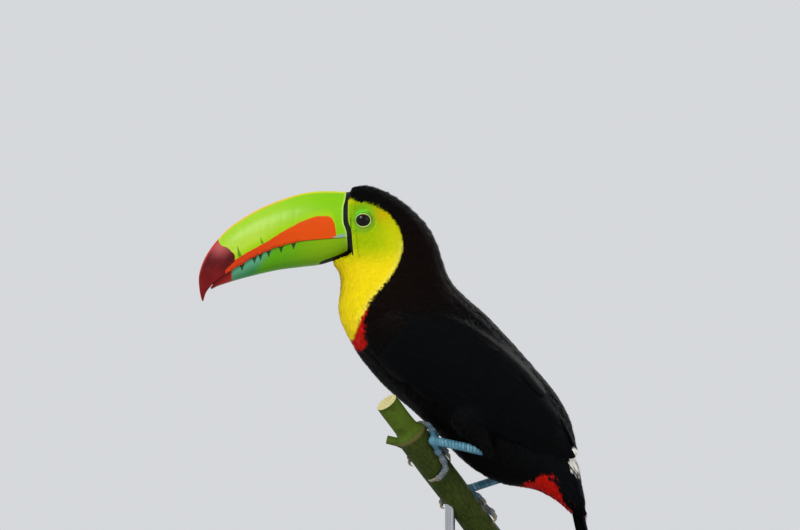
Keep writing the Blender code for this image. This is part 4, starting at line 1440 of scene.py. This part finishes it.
# %% [markdown]
# ## Wing and tail feathers
#
# A flight feather isn't a tuft: it is one firm vane with a shaft, and the next one slides over its edge.
# Each is a thin closed grid with a raised shaft and edges that curl down a little. Wing vanes are drawn in
# the wing's own two directions, along and across, and are then laid onto the form by rays. The lowest
# layer, the primaries, comes first, and each layer lies a little higher than the last, down to the small
# coverts.

# %% The grid of one vane
VANE_ROWS, VANE_COLUMNS = 19, 9
SHAFT_RISE = 0.16
VANE_AT = np.sin(np.linspace(0, 1, VANE_ROWS) * math.pi / 2) ** 0.95


def vane_grid(surface, start, finish, half_width, height, tip, tilt, arch=0.25, thick=0.16, dip=0):
    """Points of one vane, top side then under side. surface(along, across) gives a place and its normal.

    tip is the rounded share of its length. tilt lifts one edge, arch the middle, and dip sinks the root."""
    start, finish = np.array(start, float), np.array(finish, float)
    length = np.linalg.norm(finish - start)
    ahead = (finish - start) / length
    side = np.array([-ahead[1], ahead[0]])
    u = VANE_AT
    width = half_width * (0.55 + 0.45 * ease(u, 0, 0.25))
    round_tip = np.sqrt(np.clip(1 - (np.clip(u - (1 - tip), 0, None) / tip) ** 2, 0, 1))
    width = width * np.maximum(round_tip, 0.04)
    across = np.linspace(-1, 1, VANE_COLUMNS)
    top, under = [], []
    for row in range(VANE_ROWS):
        middle = start + ahead * length * u[row]
        for c in across:
            swept_back = ahead * 0.1 * half_width * c * c * (u[row] > 0.7)
            spot_here = middle + side * c * width[row] - swept_back
            place_here, up = surface(*spot_here)
            shaft = SHAFT_RISE * math.exp(-((c / 0.12) ** 2)) * (1 - 0.7 * u[row])
            rise_here = height + tilt * c + arch * (1 - c * c) + shaft - dip * (1 - ease(u[row], 0, 0.3))
            top.append(place_here + up * rise_here)
            under.append(place_here + up * (rise_here - thick * (0.4 + 0.6 * (1 - abs(c)))))
    return np.array(top + under), length, width


def vane_faces():
    """Squares of one vane, closed along its edges."""
    top = strip_faces(VANE_ROWS, VANE_COLUMNS)
    half = VANE_ROWS * VANE_COLUMNS
    rim = np.concatenate([
        np.arange(VANE_COLUMNS),
        np.arange(1, VANE_ROWS) * VANE_COLUMNS + VANE_COLUMNS - 1,
        (VANE_ROWS - 1) * VANE_COLUMNS + np.arange(VANE_COLUMNS - 2, -1, -1),
        np.arange(VANE_ROWS - 2, 0, -1) * VANE_COLUMNS,
    ])
    following = np.roll(rim, -1)
    edge = np.stack([following, rim, rim + half, following + half], 1)
    return np.concatenate([top, top[:, ::-1] + half, edge])


# %% A piece of many vanes
BARB_SLANT = 0.8  # barbs run towards the tip as they leave the shaft


def add_vanes(name, vanes, material, replaces=(), facing=1):
    """One piece from a list of vane settings. Each vane's patch of OFBake lies at its root's place."""
    points, across, barb, tones, homes = [], [], [], [], []
    for settings in vanes:
        grid, length, width = vane_grid(**settings)
        points.append(grid)
        c = np.tile(np.linspace(-1, 1, VANE_COLUMNS), 2 * VANE_ROWS)
        along = np.tile(np.repeat(VANE_AT, VANE_COLUMNS), 2)
        across.append(c)
        barb.append(along * length - np.abs(c) * np.tile(np.repeat(width, VANE_COLUMNS), 2) * BARB_SLANT)
        tones.append(np.full(len(grid), np.clip(chance.normal(0.5, 0.2), 0, 1)))
        homes.append(home_of(*body_place(grid[:1])[:2]) + PATCH / 2 * np.column_stack([along * 2 - 1, c]))
    each = len(points[0])
    faces = (vane_faces()[None] + (np.arange(len(vanes)) * each)[:, None, None]).reshape(-1, 4)
    if facing < 0:
        faces = faces[:, ::-1]
    mesh = mesh_from(np.concatenate(points) * MM, faces)
    mesh.set_sharp_from_angle(angle=math.radians(75))
    store(mesh, "across", np.concatenate(across))
    store(mesh, "barb", np.concatenate(barb))
    store(mesh, "tone", np.concatenate(tones))
    lay_patches(mesh, faces, np.concatenate(homes))
    add_piece(name, mesh, material, replaces)
    print(name, len(vanes), "vanes,", len(faces) * 2, "triangles")


# %% Finish of the vanes: black barbs with a cool gloss, a painted sheen that makes them lighter and bluer towards the edge, where they are dull and frayed
BARBS, g, start, end = new_group(
    "barbs",
    dict(Barb=0, Across=0, Pitch=0.8, Tone=0.5),
    dict(Color="Color", Height="Float", Roughness="Float"),
)
wave = g.math("SINE", g.divide(g.times(start["Barb"], 6.2832), start["Pitch"]))
off = g.math("ABSOLUTE", start["Across"])
# painted sheen: the black is a little lighter and bluer towards the vane's edges
vane_black = g.mix(g.remap(off, 0.5, 1), rgb(5, 6, 7), rgb(10, 11, 13))
vane_black = g.mix(g.remap(off, 0.1, 0.03), vane_black, rgb(4, 4, 4))
vane_black = g.mix(g.remap(start["Tone"], 0, 1, 0, 0.35, smooth=False), vane_black, rgb(3, 3, 4))
g.feed(end["Color"], vane_black)
g.feed(end["Height"], g.plus(g.times(wave, 0.3), g.remap(off, 0.1, 0)))
g.feed(end["Roughness"], g.remap(off, 0.2, 1, 0.52, 0.76))


def vane_finish(name, pitch):
    made, g, shader = new_material(name, specular_ior_level=0.025, sheen_weight=0.004)
    shader["Sheen Roughness"].default_value = 0.4
    values = {label: g.value_of(label.lower()) for label in ("Barb", "Across", "Tone")}
    barbs = g.group(BARBS, Pitch=pitch, **values)
    g.feed(shader["Roughness"], barbs["Roughness"])
    give_finish(g, shader, mottled(g, barbs["Color"], 260, 0.25), barbs["Height"], 0.00012)
    return made


wing_vane = vane_finish("wing_vane", 0.7)
tail_vane = vane_finish("tail_vane", 0.9)
print("vane finishes:", wing_vane.name, "and", tail_vane.name)

# %% The wing's own directions, and its middle line as x, z and half depth, in millimetres
WING_RINGS = np.array([(-69, 307, 4), (-61, 305, 15), (-44, 299.2, 25.5), (-20, 289.6, 32),
                       (5.6, 274.4, 33.5), (36, 253.6, 30), (61.6, 234.4, 22.5), (80.8, 219.2, 13.5),
                       (97, 205, 2.5)])
ALONG = np.array([WING_WAY[0], WING_WAY[2]])
ACROSS = np.array([-WING_WAY[2], WING_WAY[0]])
wing_middles = WING_RINGS[:, :2] - SHOULDER
WING_REACH = wing_middles @ ALONG
WING_BOW = wing_middles @ ACROSS
WING_HALF = WING_RINGS[:, 2]
print("wing:", round(float(WING_REACH[-1])), "mm long and", 2 * max(WING_HALF), "mm deep")


# %% A wing's surface
def wing_surface(side):
    """A function from (along, across) in millimetres to a place on the form's flank, with its normal."""

    def place_on(along, across):
        flat = SHOULDER + ALONG * along + ACROSS * (across + np.interp(along, WING_REACH, WING_BOW))
        for _ in range(12):
            start = Vector((flat[0] * MM, side * 0.09, flat[1] * MM))
            spot_hit, up, _, _ = form_tree.ray_cast(start, Vector((0, -side, 0)), 0.088)
            if spot_hit:
                return np.array(spot_hit) / MM, np.array(up)
            flat = flat + ACROSS * (-1 if across > 0 else 1)
        spot_hit, up, _, _ = form_tree.find_nearest(start)
        return np.array(spot_hit) / MM, np.array(up)

    return place_on


# %% Rows of vanes
ROW_REACH = 0.94  # of the wing's depth


def wing_row(count, root_along, tip_along, half_width, height, tip, slant, stagger):
    """One row of overlapping vanes, from the wing's lower edge to its upper one."""
    row = []
    for k in range(count):
        t = 2 * (k + 0.5 + stagger) / count - 1
        at_tip = tip_along + slant * t - 0.05 * tip_along * t * t + chance.normal(0, 0.8)
        at_root = root_along + 0.5 * slant * t + chance.normal(0, 0.8)
        low = np.interp(at_root, WING_REACH, WING_HALF) * ROW_REACH * t * 0.96
        high = np.interp(at_tip, WING_REACH, WING_HALF) * ROW_REACH * t + chance.normal(0, 0.4)
        half = half_width * chance.uniform(0.94, 1.06)
        row.append(dict(start=(at_root, low), finish=(at_tip, high), half_width=half, height=height,
                        tilt=-0.38, tip=tip, dip=1.3, arch=0.34))
    return row


# Each row: how many, roots, tips, half width, height, rounded tip, slant and stagger
WING_ROWS = [
    (10, 92, 166, 7.2, -0.55, 0.16, 11, 0),
    (11, 74, 126, 6.2, -0.15, 0.22, 4, 0),
    (12, 60, 99, 6, 0.1, 0.3, 2, 0.2),
    (12, 50, 82, 5.8, 0.25, 0.34, 0, -0.2),
    (12, 38, 67, 5.4, 0.3, 0.38, 0, 0.2),
    (12, 28, 53, 5, 0.3, 0.42, 0, -0.2),
    (11, 18, 40, 4.6, 0.25, 0.46, 0, 0),
]
PRIMARIES = 7
EDGE_COVERTS = 12
EDGE_COVERT_LENGTH = 34


def wing_vanes(surface):
    """All the vanes of one wing, lowest layer first."""
    rows = []
    for k in range(PRIMARIES):
        t = k / (PRIMARIES - 1)
        rows.append(dict(start=(104, -16 + 8 * t), finish=(195 - 24 * t, -1 - 9.5 * t),
                         half_width=6.4, height=-0.95 + 0.05 * k, tilt=-0.3, tip=0.22, dip=1))
    for settings in WING_ROWS:
        rows += wing_row(*settings)
    for k in range(EDGE_COVERTS):
        at_root = 8 + 9.5 * k
        at_tip = at_root + EDGE_COVERT_LENGTH
        high = np.interp(at_root, WING_REACH, WING_HALF)
        low = np.interp(at_tip, WING_REACH, WING_HALF)
        rows.append(dict(start=(at_root, high + 5), finish=(at_tip, low - 1.5), half_width=6.6,
                         height=0.1, tilt=-0.2, tip=0.45, dip=1.4, arch=0.1))
    return [dict(settings, surface=surface) for settings in rows]


for hand, side in SIDES:
    add_vanes(f"wing_vanes_{hand}", wing_vanes(wing_surface(side)), wing_vane, facing=-side)

# %% [markdown]
# ## Tail
#
# Ten long feathers, blunt at the tip. The middle pair lies on top, and each pair outwards lies under the
# last and ends a little higher, so a closed tail has stepped sides and is gently arched. The middle line
# and the thickness follow the solid's own rings, so the feathers could also be cut from it, but then none
# would overlap.

# %% The tail's line, in millimetres
TAIL_MIDDLE = np.array([(92, 186), (97.5, 165), (103, 142), (109.5, 112), (117, 76), (121.5, 54),
                        (124.5, 39.5), (126.3, 31)])
TAIL_THICK = [4, 4.6, 4.4, 3.8, 3, 2.4, 2, 1.6]
TAIL_ARCH = 3  # how much lower the tail lies at TAIL_HALF beside its middle
TAIL_HALF = 25
TAIL_PAIRS = 5
tail_step = np.linalg.norm(np.diff(TAIL_MIDDLE, axis=0), axis=1)
tail_reach = np.concatenate([[0], np.cumsum(tail_step)])
print("tail:", round(float(tail_reach[-1])), "mm long")


# %% Its ten feathers
def tail_surface(layer):
    """The surface of one layer of the tail. layer goes from 1, on top, to -1, underneath."""

    def place_on(along, across):
        x = np.interp(along, tail_reach, TAIL_MIDDLE[:, 0])
        z = np.interp(along, tail_reach, TAIL_MIDDLE[:, 1])
        up = unit(np.array([1, 0.05 * across / TAIL_HALF, 0.22]))
        arched = TAIL_ARCH * (across / TAIL_HALF) ** 2
        rise_here = layer * np.interp(along, tail_reach, TAIL_THICK) - arched
        return np.array([x, across, z]) + up * rise_here, up

    return place_on


tail_vanes = []
for pair in reversed(range(TAIL_PAIRS)):
    for hand in (-1, 1):
        at_base = hand * (0.8 + 1.6 * pair)
        at_tip = hand * (1.4 + 3.2 * pair)
        reach = tail_reach[-1] - 1.3 * pair**1.35
        layer = tail_surface(0.8 - 0.36 * pair - (0.06 if hand < 0 else 0))
        tail_vanes.append(dict(surface=layer, start=(4 + pair, at_base), finish=(reach, at_tip),
                               half_width=11.2 - 0.45 * pair, height=-0.4, tilt=-0.2 * hand, tip=0.085,
                               arch=0.9, thick=0.3))
add_vanes("tail_vanes", tail_vanes, tail_vane, ["tail"], facing=-1)

# %% [markdown]
# ## Feet and claws
#
# A toucan's toes point two forwards and two back. Their skin is blue, with rows of scutes, the small uneven
# plates that ring the toes and run down the front of the shank, and a net of tiny scales behind. Copies of
# a foot and its shank are remeshed finely into one skin. Then each point moves along its normal by a height
# that comes from its distance to the ball of the foot: down at a border, up on a plate, and up again at
# each knuckle. That gives real plates in the mesh, where a bump alone would look painted on. The claws are
# remeshed too: each is drawn into its toe at the root, so that no gap is left, and is thinned to a point.

# %% Plates on the legs
BALL = {"left": np.array([-17.2, -28.8, 218]), "right": np.array([10.2, 18.7, 177.2])}
KNUCKLES = 8  # from one knuckle to the next
SCALE_PITCH = 1.25
TOE_LENGTH = 32


def depth_in_scale(points):
    """How far each point lies inside its own scale of the net. It is 0 on a border."""
    spots = points[chance.permutation(len(points))[:9000]]
    middles = spots[spaced_out(spots, np.full(len(spots), SCALE_PITCH), np.ones(len(spots), bool))]
    net = search_tree(middles)
    inside = np.empty(len(points))
    for k, point in enumerate(points.tolist()):
        (_, _, nearest), (_, _, second_nearest) = net.find_n(point, 2)
        inside[k] = second_nearest - nearest
    return inside


def plate_at(distance, shortest, longest):
    """The running number of the plate at each distance, for plates of uneven length."""
    ends = np.cumsum(chance.uniform(shortest, longest, 60)) - 12
    return np.interp(distance, ends, np.arange(60))


# %% One leg
def leg(side):
    """Foot and shank in one closed skin, with its plates and scales raised in the mesh."""
    names = [f"foot_{side}", f"shank_{side}"]
    mesh = remeshed(joined_copy(names, 0.2 * MM), 0.42 * MM, 6)
    points = points_of(mesh) / MM
    from_foot, from_shank = (nearest_on(name, points)[1] for name in names)
    on_shank = ease(from_foot - from_shank, -0.3, 0.8)
    low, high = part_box(names[1])
    up_leg = unit((np.array(low) + np.array(high)) / 2 / MM - BALL[side])
    off = points - BALL[side]
    reach = off @ up_leg
    around = unit(off - reach[:, None] * up_leg)
    front = unit(np.array([-0.35, 0, 1]) - np.array([-0.35, 0, 1]) @ up_leg * up_leg)
    in_front = ease(around @ front, -0.75, -0.45)
    away = np.linalg.norm(off, axis=1)
    toe_plate = plate_at(away + 0.35 * np.sin(points[:, 0] * 0.9 + points[:, 1]), 1.4, 2.2)
    leg_plate = plate_at(reach + 0.8 * (around @ front) + 0.25 * np.sin(points[:, 1] * 1.3), 1.9, 3.3)
    plate = np.where(on_shank > 0.5, leg_plate + 100, toe_plate)
    border = np.exp(-((((plate % 1) - 0.5) / 0.12) ** 2))
    # each plate's random tone, which the finish paints as a paler or darker copy of the blue skin: painted
    # highlights and shade
    shade = chance.random(400)[(plate + 0.5).astype(int)]
    plated_share = np.where(on_shank > 0.5, on_shank * in_front, np.clip((away - 4) / 3, 0, 1))
    net = ease(depth_in_scale(points), 0.3, 0.05)
    plates = 0.14 + 0.1 * (shade - 0.5) - 0.26 * border
    height = plated_share * plates + (1 - plated_share) * (0.08 - 0.2 * net)
    knuckle = 0.4 * np.cos(2 * math.pi * (away - 2.5) / KNUCKLES) * ease(away, 4, 8)
    height = height + knuckle * (1 - on_shank)
    points += normals_of(mesh) * height[:, None]
    set_points(mesh, points * MM)
    mesh.shade_smooth()
    # groove: where the finish paints shade in the grooves; shade: each plate's tone, painted as highlight or
    # shade
    store(mesh, "groove", plated_share * border + (1 - plated_share) * net)
    store(mesh, "shade", plated_share * shade + (1 - plated_share) * 0.5)
    store(mesh, "out_along_toe", np.clip(away / TOE_LENGTH, 0, 1) * (1 - on_shank))
    return mesh, names


for side in BALL:
    low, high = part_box("foot_" + side)
    print("foot", side, "in mm:", [round((b - a) / MM, 1) for a, b in zip(low, high)])

# %% Skin of the legs: blue, grey and dusty on the toes, with painted shade in the grooves, and painted highlights and shade on single plates
foot_skin, g, shader = new_material("foot_skin", roughness=0.44, specular_ior_level=0.35, coat_weight=0.08)
patch = g.noise(110, 3)
colour = g.mix(g.remap(patch, 0.35, 0.68), rgb(70, 132, 156), rgb(104, 166, 186))
# painted highlights and shade: plates with a high tone are paler, those with a low tone darker
colour = g.mix(g.remap(g.value_of("shade"), 0.55, 1, 0, 0.55), colour, rgb(150, 202, 210))
colour = g.mix(g.remap(g.value_of("shade"), 0.45, 0, 0, 0.55), colour, rgb(50, 96, 122))
toe = g.value_of("out_along_toe")
colour = g.mix(g.remap(toe, 0.05, 0.45, 0, 0.78), colour, rgb(74, 88, 102))
dusty = g.times(g.remap(toe, 0.1, 0.85), g.remap(g.noise(150, 4), 0.34, 0.66))
colour = g.mix(g.times(dusty, 0.85), colour, rgb(160, 142, 118))
# painted shade in the grooves between plates and scales
colour = g.mix(g.times(g.value_of("groove"), 0.88), colour, rgb(22, 40, 58))
grain = g.add("TexVoronoi", dict(Scale=1700))
colour = g.mix(g.remap(grain, 0.35, 0.75, 0, 0.3), colour, rgb(52, 96, 128))
dirt = g.noise(350, 4, 0.7)
colour = g.mix(g.remap(dirt, 0.56, 0.78, 0, 0.6), colour, rgb(62, 76, 70))
give_finish(g, shader, colour, grain, 0.00018)
for side in ("left", "right"):
    mesh, names = leg(side)
    add_piece(f"leg_skin_{side}", mesh, foot_skin, names)
    print("leg", side, len(mesh.polygons), "faces")

# %% The claws
claw_horn, g, shader = new_material(
    "claw_horn", roughness=0.34, specular_ior_level=0.5, coat_weight=0.2, coat_roughness=0.2
)
long_grain = g.noise(1, place=g.stretch((300, 300, 90)))
colour = g.mix(long_grain, rgb(64, 54, 42), rgb(158, 142, 112))
finish_horn(g, shader, colour, 0.2, 0.00015)
CLAW_STEPS = 8
TIP_THINNER = 0.6
ROOT_DEPTH = 1


def claw(name, foot):
    """The claw's solid with its root drawn into the toe and its outer half thinned to a point."""
    mesh = remeshed(joined_copy([name], 0.1 * MM), 0.22 * MM, 4)
    points = points_of(mesh) / MM
    away = np.linalg.norm(points - nearest_on(foot, points)[0], axis=1)
    nearest_of_all, farthest = away.min(), away.max()
    steps = np.linspace(nearest_of_all, farthest, CLAW_STEPS)
    near_step = np.abs(away[:, None] - steps) < (farthest - nearest_of_all) / 10
    middles = np.array([points[at_step].mean(0) for at_step in near_step.T])
    middle_here = np.stack([np.interp(away, steps, column) for column in middles.T], 1)
    thin = 1 - TIP_THINNER * ease(away / farthest, 0.45, 1)[:, None]
    points = middle_here + (points - middle_here) * thin
    from_root = away - nearest_of_all
    root_middle = points[from_root < 0.8].mean(0)
    into_toe = nearest_on(foot, root_middle[None])[0][0] - root_middle
    gap = np.linalg.norm(into_toe)
    points += into_toe * (1 + ROOT_DEPTH / gap) * ease(from_root, 1.6, 0.1)[:, None]
    set_points(mesh, points * MM)
    mesh.shade_smooth()
    return mesh


claw_faces = 0
for side in ("left", "right"):
    for toe in range(1, 5):
        mesh = claw(f"claw_{side}_{toe}", f"foot_{side}")
        add_piece(f"claw_horn_{side}_{toe}", mesh, claw_horn, [f"claw_{side}_{toe}"])
        claw_faces += len(mesh.polygons)
print("claws:", claw_faces, "faces")

# %% [markdown]
# ## Perch
#
# The perch is a short cut length of a palm's flower stem: thin above its node, thicker below, with the stub
# of a side shoot. Its solid could be kept and given a finish, but then its outline would stay smooth. So it
# is lofted again from the same numbers, with more sides, and its fibres are low ridges in the mesh. The two
# cuts are pale and dotted with fibre ends, as a palm's are.

# %% The stem's line, in millimetres
STEM_MIDDLE = np.array([-8.4, -3, 186])
STEM_LINE = unit(np.array([0.59, 0.4, -0.8]))
TO_BIRD = unit(np.array([-STEM_LINE[2], 0, STEM_LINE[0]]))
TO_LEFT = np.cross(STEM_LINE, TO_BIRD)
STEM_TOP, STEM_FOOT, STEM_NODE = -84, 82, -52
STEM_SIDES = 96
CUT_RINGS = [0.03, 0.35, 0.65, 0.85, 0.93, 0.975]  # of the radius, from a cut's middle to its edge


def stem_radius(along):
    """Thin above the node, thick below it, and with a low ring just under it."""
    under = np.maximum((along - STEM_NODE) / (STEM_FOOT - STEM_NODE), 0)
    thick = 13 + (11.6 - 13) * under**0.7
    step = 1 / (1 + np.exp(-(along - STEM_NODE) / 1.6))
    ring = 1.1 * np.exp(-(((along + 50) / 1.8) ** 2))
    return 9.2 + (thick - 9.2) * step + ring


def stem_rings():
    """Rings down the stem, closest at the node, with a small chamfer and a rough face at each cut."""
    rows = np.concatenate([
        [STEM_TOP] * len(CUT_RINGS),
        np.linspace(STEM_TOP + 0.5, STEM_NODE - 8, 26),
        np.linspace(STEM_NODE - 7.5, STEM_NODE + 8, 42),
        np.linspace(STEM_NODE + 9, STEM_FOOT - 0.5, 78),
        [STEM_FOOT] * len(CUT_RINGS),
    ])
    shrink = np.concatenate([CUT_RINGS, np.ones(len(rows) - 2 * len(CUT_RINGS)), CUT_RINGS[::-1]])
    theta = full_turn(STEM_SIDES)
    circle = np.cos(theta)[:, None] * TO_BIRD + np.sin(theta)[:, None] * TO_LEFT
    fibres = 0.1 * np.sin(theta * 23 + 1.3) + 0.08 * np.sin(theta * 37 + 0.4) + 0.05 * np.sin(theta * 61)
    rings = []
    for row, (along, small) in enumerate(zip(rows, shrink)):
        reach = stem_radius(along) * small - 0.12 + fibres * (small == 1) * (1 + 0.4 * math.sin(along * 0.31))
        uneven = 0.12 * np.sin(theta * 3 + along * 0.11) * (small == 1)
        rough = np.zeros(STEM_SIDES)
        if small < 1:
            rough = 0.3 * chance.normal(0, 1, STEM_SIDES) * (0.1 < small < 0.9)
        flat = circle * (reach + uneven)[:, None]
        lift = np.outer(rough * (0.5 if row < len(CUT_RINGS) else -0.5), STEM_LINE)
        rings.append(STEM_MIDDLE + STEM_LINE * along + flat + lift)
    return np.array(rings) * MM


# %% The side shoot, as (reach, radius) along it
SHOOT = [(0, 4.6), (4, 4.3), (6, 3.9), (8, 3.55), (11, 3.4), (14, 3.35), (16.2, 3.35), (16.9, 3.2), (17, 2.7),
         (17, 1.6), (17, 0.2)]
SHOOT_AT = -44


def shoot_rings():
    """The stub of the side shoot, which points up from just under the node."""
    theta = full_turn(32)
    angle_here = math.radians(178)
    outward = TO_BIRD * math.cos(angle_here) + TO_LEFT * math.sin(angle_here)
    start = STEM_MIDDLE + STEM_LINE * SHOOT_AT + outward * (stem_radius(SHOOT_AT) - 6)
    ahead = unit(outward + 0.9 * np.array([-0.3, 0.1, 0.95]))
    first = unit(np.cross(ahead, [0, 1, 0]))
    second = np.cross(ahead, first)
    circle = np.cos(theta)[:, None] * first + np.sin(theta)[:, None] * second
    rings = []
    for reach, radius in SHOOT:
        rough = radius * (1 + 0.03 * np.sin(theta * 9) * (radius > 3))
        rings.append(start + ahead * reach + circle * rough[:, None])
    return np.array(rings) * MM


print("stem:", STEM_FOOT - STEM_TOP, "mm long, foot radius", round(float(stem_radius(STEM_FOOT)), 1), "mm")

# %% The stem's finish: dull green, darker below the node as painted shade, with long fibres, blotches, a pale ring scar and pale cuts
stem_skin, g, shader = new_material("palm_stem", roughness=0.6, specular_ior_level=0.1)
place_here = g.add("Mapping", dict(Vector=g.object_place(), Rotation=(0, math.radians(36.4), 0)))
ahead = g.add("VectorMath", {0: g.object_place(), 1: tuple(STEM_LINE)}, "Value", operation="DOT_PRODUCT")
along = g.minus(g.times(ahead, 1000), float(STEM_MIDDLE @ STEM_LINE))
fibre = g.noise(1, 5, 0.65, place=g.stretch((700, 700, 18), place_here))
blotch = g.noise(55, 4, 0.6)
# painted shade: the stem is darker below the node, where the bird shades it
colour = g.mix(g.remap(along, STEM_NODE - 3, STEM_NODE + 6), rgb(74, 98, 20), rgb(41, 53, 12))
colour = g.mix(g.remap(blotch, 0.42, 0.7, 0, 0.7), colour, rgb(36, 43, 12))
colour = g.mix(g.remap(fibre, 0.35, 0.75, 0, 0.42), colour, rgb(84, 96, 36))
ring_scar = g.remap(g.math("ABSOLUTE", g.minus(along, -49)), 2, 0.6)
colour = g.mix(g.times(ring_scar, 0.8), colour, rgb(104, 90, 50))
specks = g.add("TexVoronoi", dict(Scale=210))
colour = g.mix(g.remap(specks, 0.16, 0.08, 0, 0.75), colour, rgb(62, 48, 26))
cut = g.math("MAXIMUM", g.remap(along, STEM_TOP + 0.35, STEM_TOP + 0.1),
             g.remap(along, STEM_FOOT - 0.35, STEM_FOOT - 0.1))
ends = g.add("TexVoronoi", dict(Scale=900))
colour = g.mix(cut, colour, g.mix(g.remap(ends, 0.3, 0.18), rgb(206, 196, 140), rgb(122, 96, 52)))
g.feed(shader["Roughness"], g.remap(blotch, 0.3, 0.7, 0.55, 0.75))
give_finish(g, shader, colour, g.plus(fibre, g.times(blotch, 0.4)), 0.0006)
for name, rings in (("perch_stem_skin", stem_rings()), ("perch_shoot_skin", shoot_rings())):
    add_piece(name, loft(rings, 50), stem_skin, ["perch_stem"])

# %% [markdown]
# ## Stand
#
# The stand is plain, as in a museum case: a turned disc of dark wood, a steel rod and a small collar where
# the rod meets the wood. The disc is a profile turned about its axis, with a shallow groove and an eased
# edge. The rod keeps its solid, and only gets its finish.


# %% Turned shapes, in millimetres
BASE_RADIUS = 86


def turned(profile, middle, sides):
    """A profile of (radius, height) in millimetres, turned about an upright axis at this middle."""
    theta = full_turn(sides)
    circle = np.stack([np.cos(theta), np.sin(theta)], 1)
    rings = [np.column_stack([middle + radius * circle, np.full(sides, z)]) for radius, z in profile]
    return loft(np.array(rings) * MM, 35)


BASE_PROFILE = [
    (0.5, 0), (40, 0), (80, 0), (82.5, 0.3), (84.6, 1.2), (85.7, 2.8), (BASE_RADIUS, 4.6),
    (BASE_RADIUS, 10.6), (85.8, 11.9), (85.1, 13.4), (84, 14.7), (82.6, 15.6), (81, 16), (76.6, 16),
    (76.2, 15.8), (75.8, 15.3), (75.2, 15.2), (74.6, 15.3), (74.2, 15.8), (73.8, 16), (50, 16),
    (20, 16), (0.5, 16),
]
COLLAR_PROFILE = [
    (4.05, 15.9), (9, 15.9), (9.6, 16.2), (9.8, 16.8), (9.7, 17.6), (9, 18.2), (6.6, 18.6), (5.9, 19.2),
    (5.6, 20.4), (5.3, 22.6), (4.9, 23.3), (4.05, 23.4),
]
print("disc:", 2 * BASE_RADIUS, "mm across and", BASE_PROFILE[-1][1], "mm high")

# %% The disc of dark wood
stand_wood, g, shader = new_material("base_wood", roughness=0.42, coat_weight=0.25, coat_roughness=0.25)
bent = g.noise(1, 3, place=g.stretch((3, 26, 26)))
across = g.split(g.object_place())[1]
rings_of_growth = g.math("SINE", g.plus(g.times(across, 620), g.times(bent, 26)))
pores = g.noise(1, 3, 0.7, place=g.stretch((70, 1600, 1600)))
colour = g.mix(g.remap(rings_of_growth, -1, 1), rgb(62, 40, 27), rgb(92, 61, 40))
colour = g.mix(g.remap(pores, 0.55, 0.72, 0, 0.7), colour, rgb(34, 21, 14))
g.feed(shader["Roughness"], g.remap(pores, 0.4, 0.7, 0.36, 0.55))
give_finish(g, shader, mottled(g, colour, 14, 0.2), g.times(pores, -1), 0.0002)
disc = turned(BASE_PROFILE, (0, 0), 128)
add_piece("stand_base_wood", disc, stand_wood, ["stand_base"])
print("wood:", len(disc.polygons), "faces")

# %% The steel collar and rod
rod_steel, g, shader = new_material("rod_steel", metallic=1)
lines = g.noise(1, 3, 0.6, place=g.stretch((2600, 2600, 30)))
g.feed(shader["Roughness"], g.remap(lines, 0.3, 0.7, 0.26, 0.42))
give_finish(g, shader, g.mix(lines, rgb(150, 152, 156), rgb(198, 200, 204)), lines, 0.00008)
add_piece("stand_collar", turned(COLLAR_PROFILE, (-4, 0), 64), rod_steel)
for slot_of_rod in nodes["stand_rod"].material_slots:
    slot_of_rod.material = rod_steel

# %% [markdown]
# ## Floor, light and camera
#
# The model stands on a wide pale floor under a dim, even sky, so its shadow stays soft. A large key lamp
# stands high in front of the bill, a weaker one fills the tail side, and two behind lift the black back
# from the floor. A long lens, far away, keeps the proportions true. The colours are shown as they are, with
# no filmic curve, because a toucan's bill is meant to look loud.

# %% Camera
CAMERA_AWAY = 4  # metres
VIEW_WIDTH = 0.64  # metres, at the bird
SENSOR = 36  # millimetres
scene = bpy.context.scene
scene.view_settings.view_transform = "Standard"
camera_data = bpy.data.cameras.new("camera")
camera = bpy.data.objects.new("camera", camera_data)
scene.collection.objects.link(camera)
scene.camera = camera
camera.location = (-0.044, -CAMERA_AWAY, 0.3576)
camera.rotation_euler = (math.radians(90), 0, 0)
camera_data.sensor_width = SENSOR
camera_data.lens = SENSOR * CAMERA_AWAY / VIEW_WIDTH
camera_data.clip_end = 100
print("lens:", round(camera_data.lens), "mm")


# %% Lamps and sky
def soft_lamp(name, place, aim, strength, breadth):
    """A lamp far beyond this place. breadth says how wide it looks, in degrees: wide gives soft shadows."""
    data = bpy.data.lights.new(name, "SUN")
    data.energy = strength
    data.angle = math.radians(breadth)
    light = bpy.data.objects.new(name, data)
    scene.collection.objects.link(light)
    light.location = place
    light.rotation_euler = (Vector(aim) - Vector(place)).to_track_quat("-Z", "Y").to_euler()


MIDDLE = (-0.03, 0, 0.28)
soft_lamp("key", (-0.9, -1.3, 1.5), MIDDLE, 1.72, 22)
soft_lamp("fill", (1.3, -1.2, 0.7), MIDDLE, 0.4, 40)
soft_lamp("back", (0.9, 1.5, 1.1), MIDDLE, 0.85, 30)
soft_lamp("left_back", (-1.4, 0.8, 0.8), MIDDLE, 0.3, 30)
world = bpy.data.worlds.new("studio")
scene.world = world
world.use_nodes = True
sky = world.node_tree.nodes["Background"].inputs
sky["Color"].default_value = (0.8, 0.82, 0.85, 1)
sky["Strength"].default_value = 0.84

# %% Floor
floor_material, g, shader = new_material("floor", roughness=0.9, specular_ior_level=0)
shader["Base Color"].default_value = (0.568, 0.574, 0.583, 1)
floor_mesh = bpy.data.meshes.new("floor")
bm = bmesh.new()
bmesh.ops.create_circle(bm, cap_ends=True, segments=64, radius=80)
bm.to_mesh(floor_mesh)
bm.free()
floor_mesh.materials.append(floor_material)
floor = bpy.data.objects.new("floor", floor_mesh)
scene.collection.objects.link(floor)
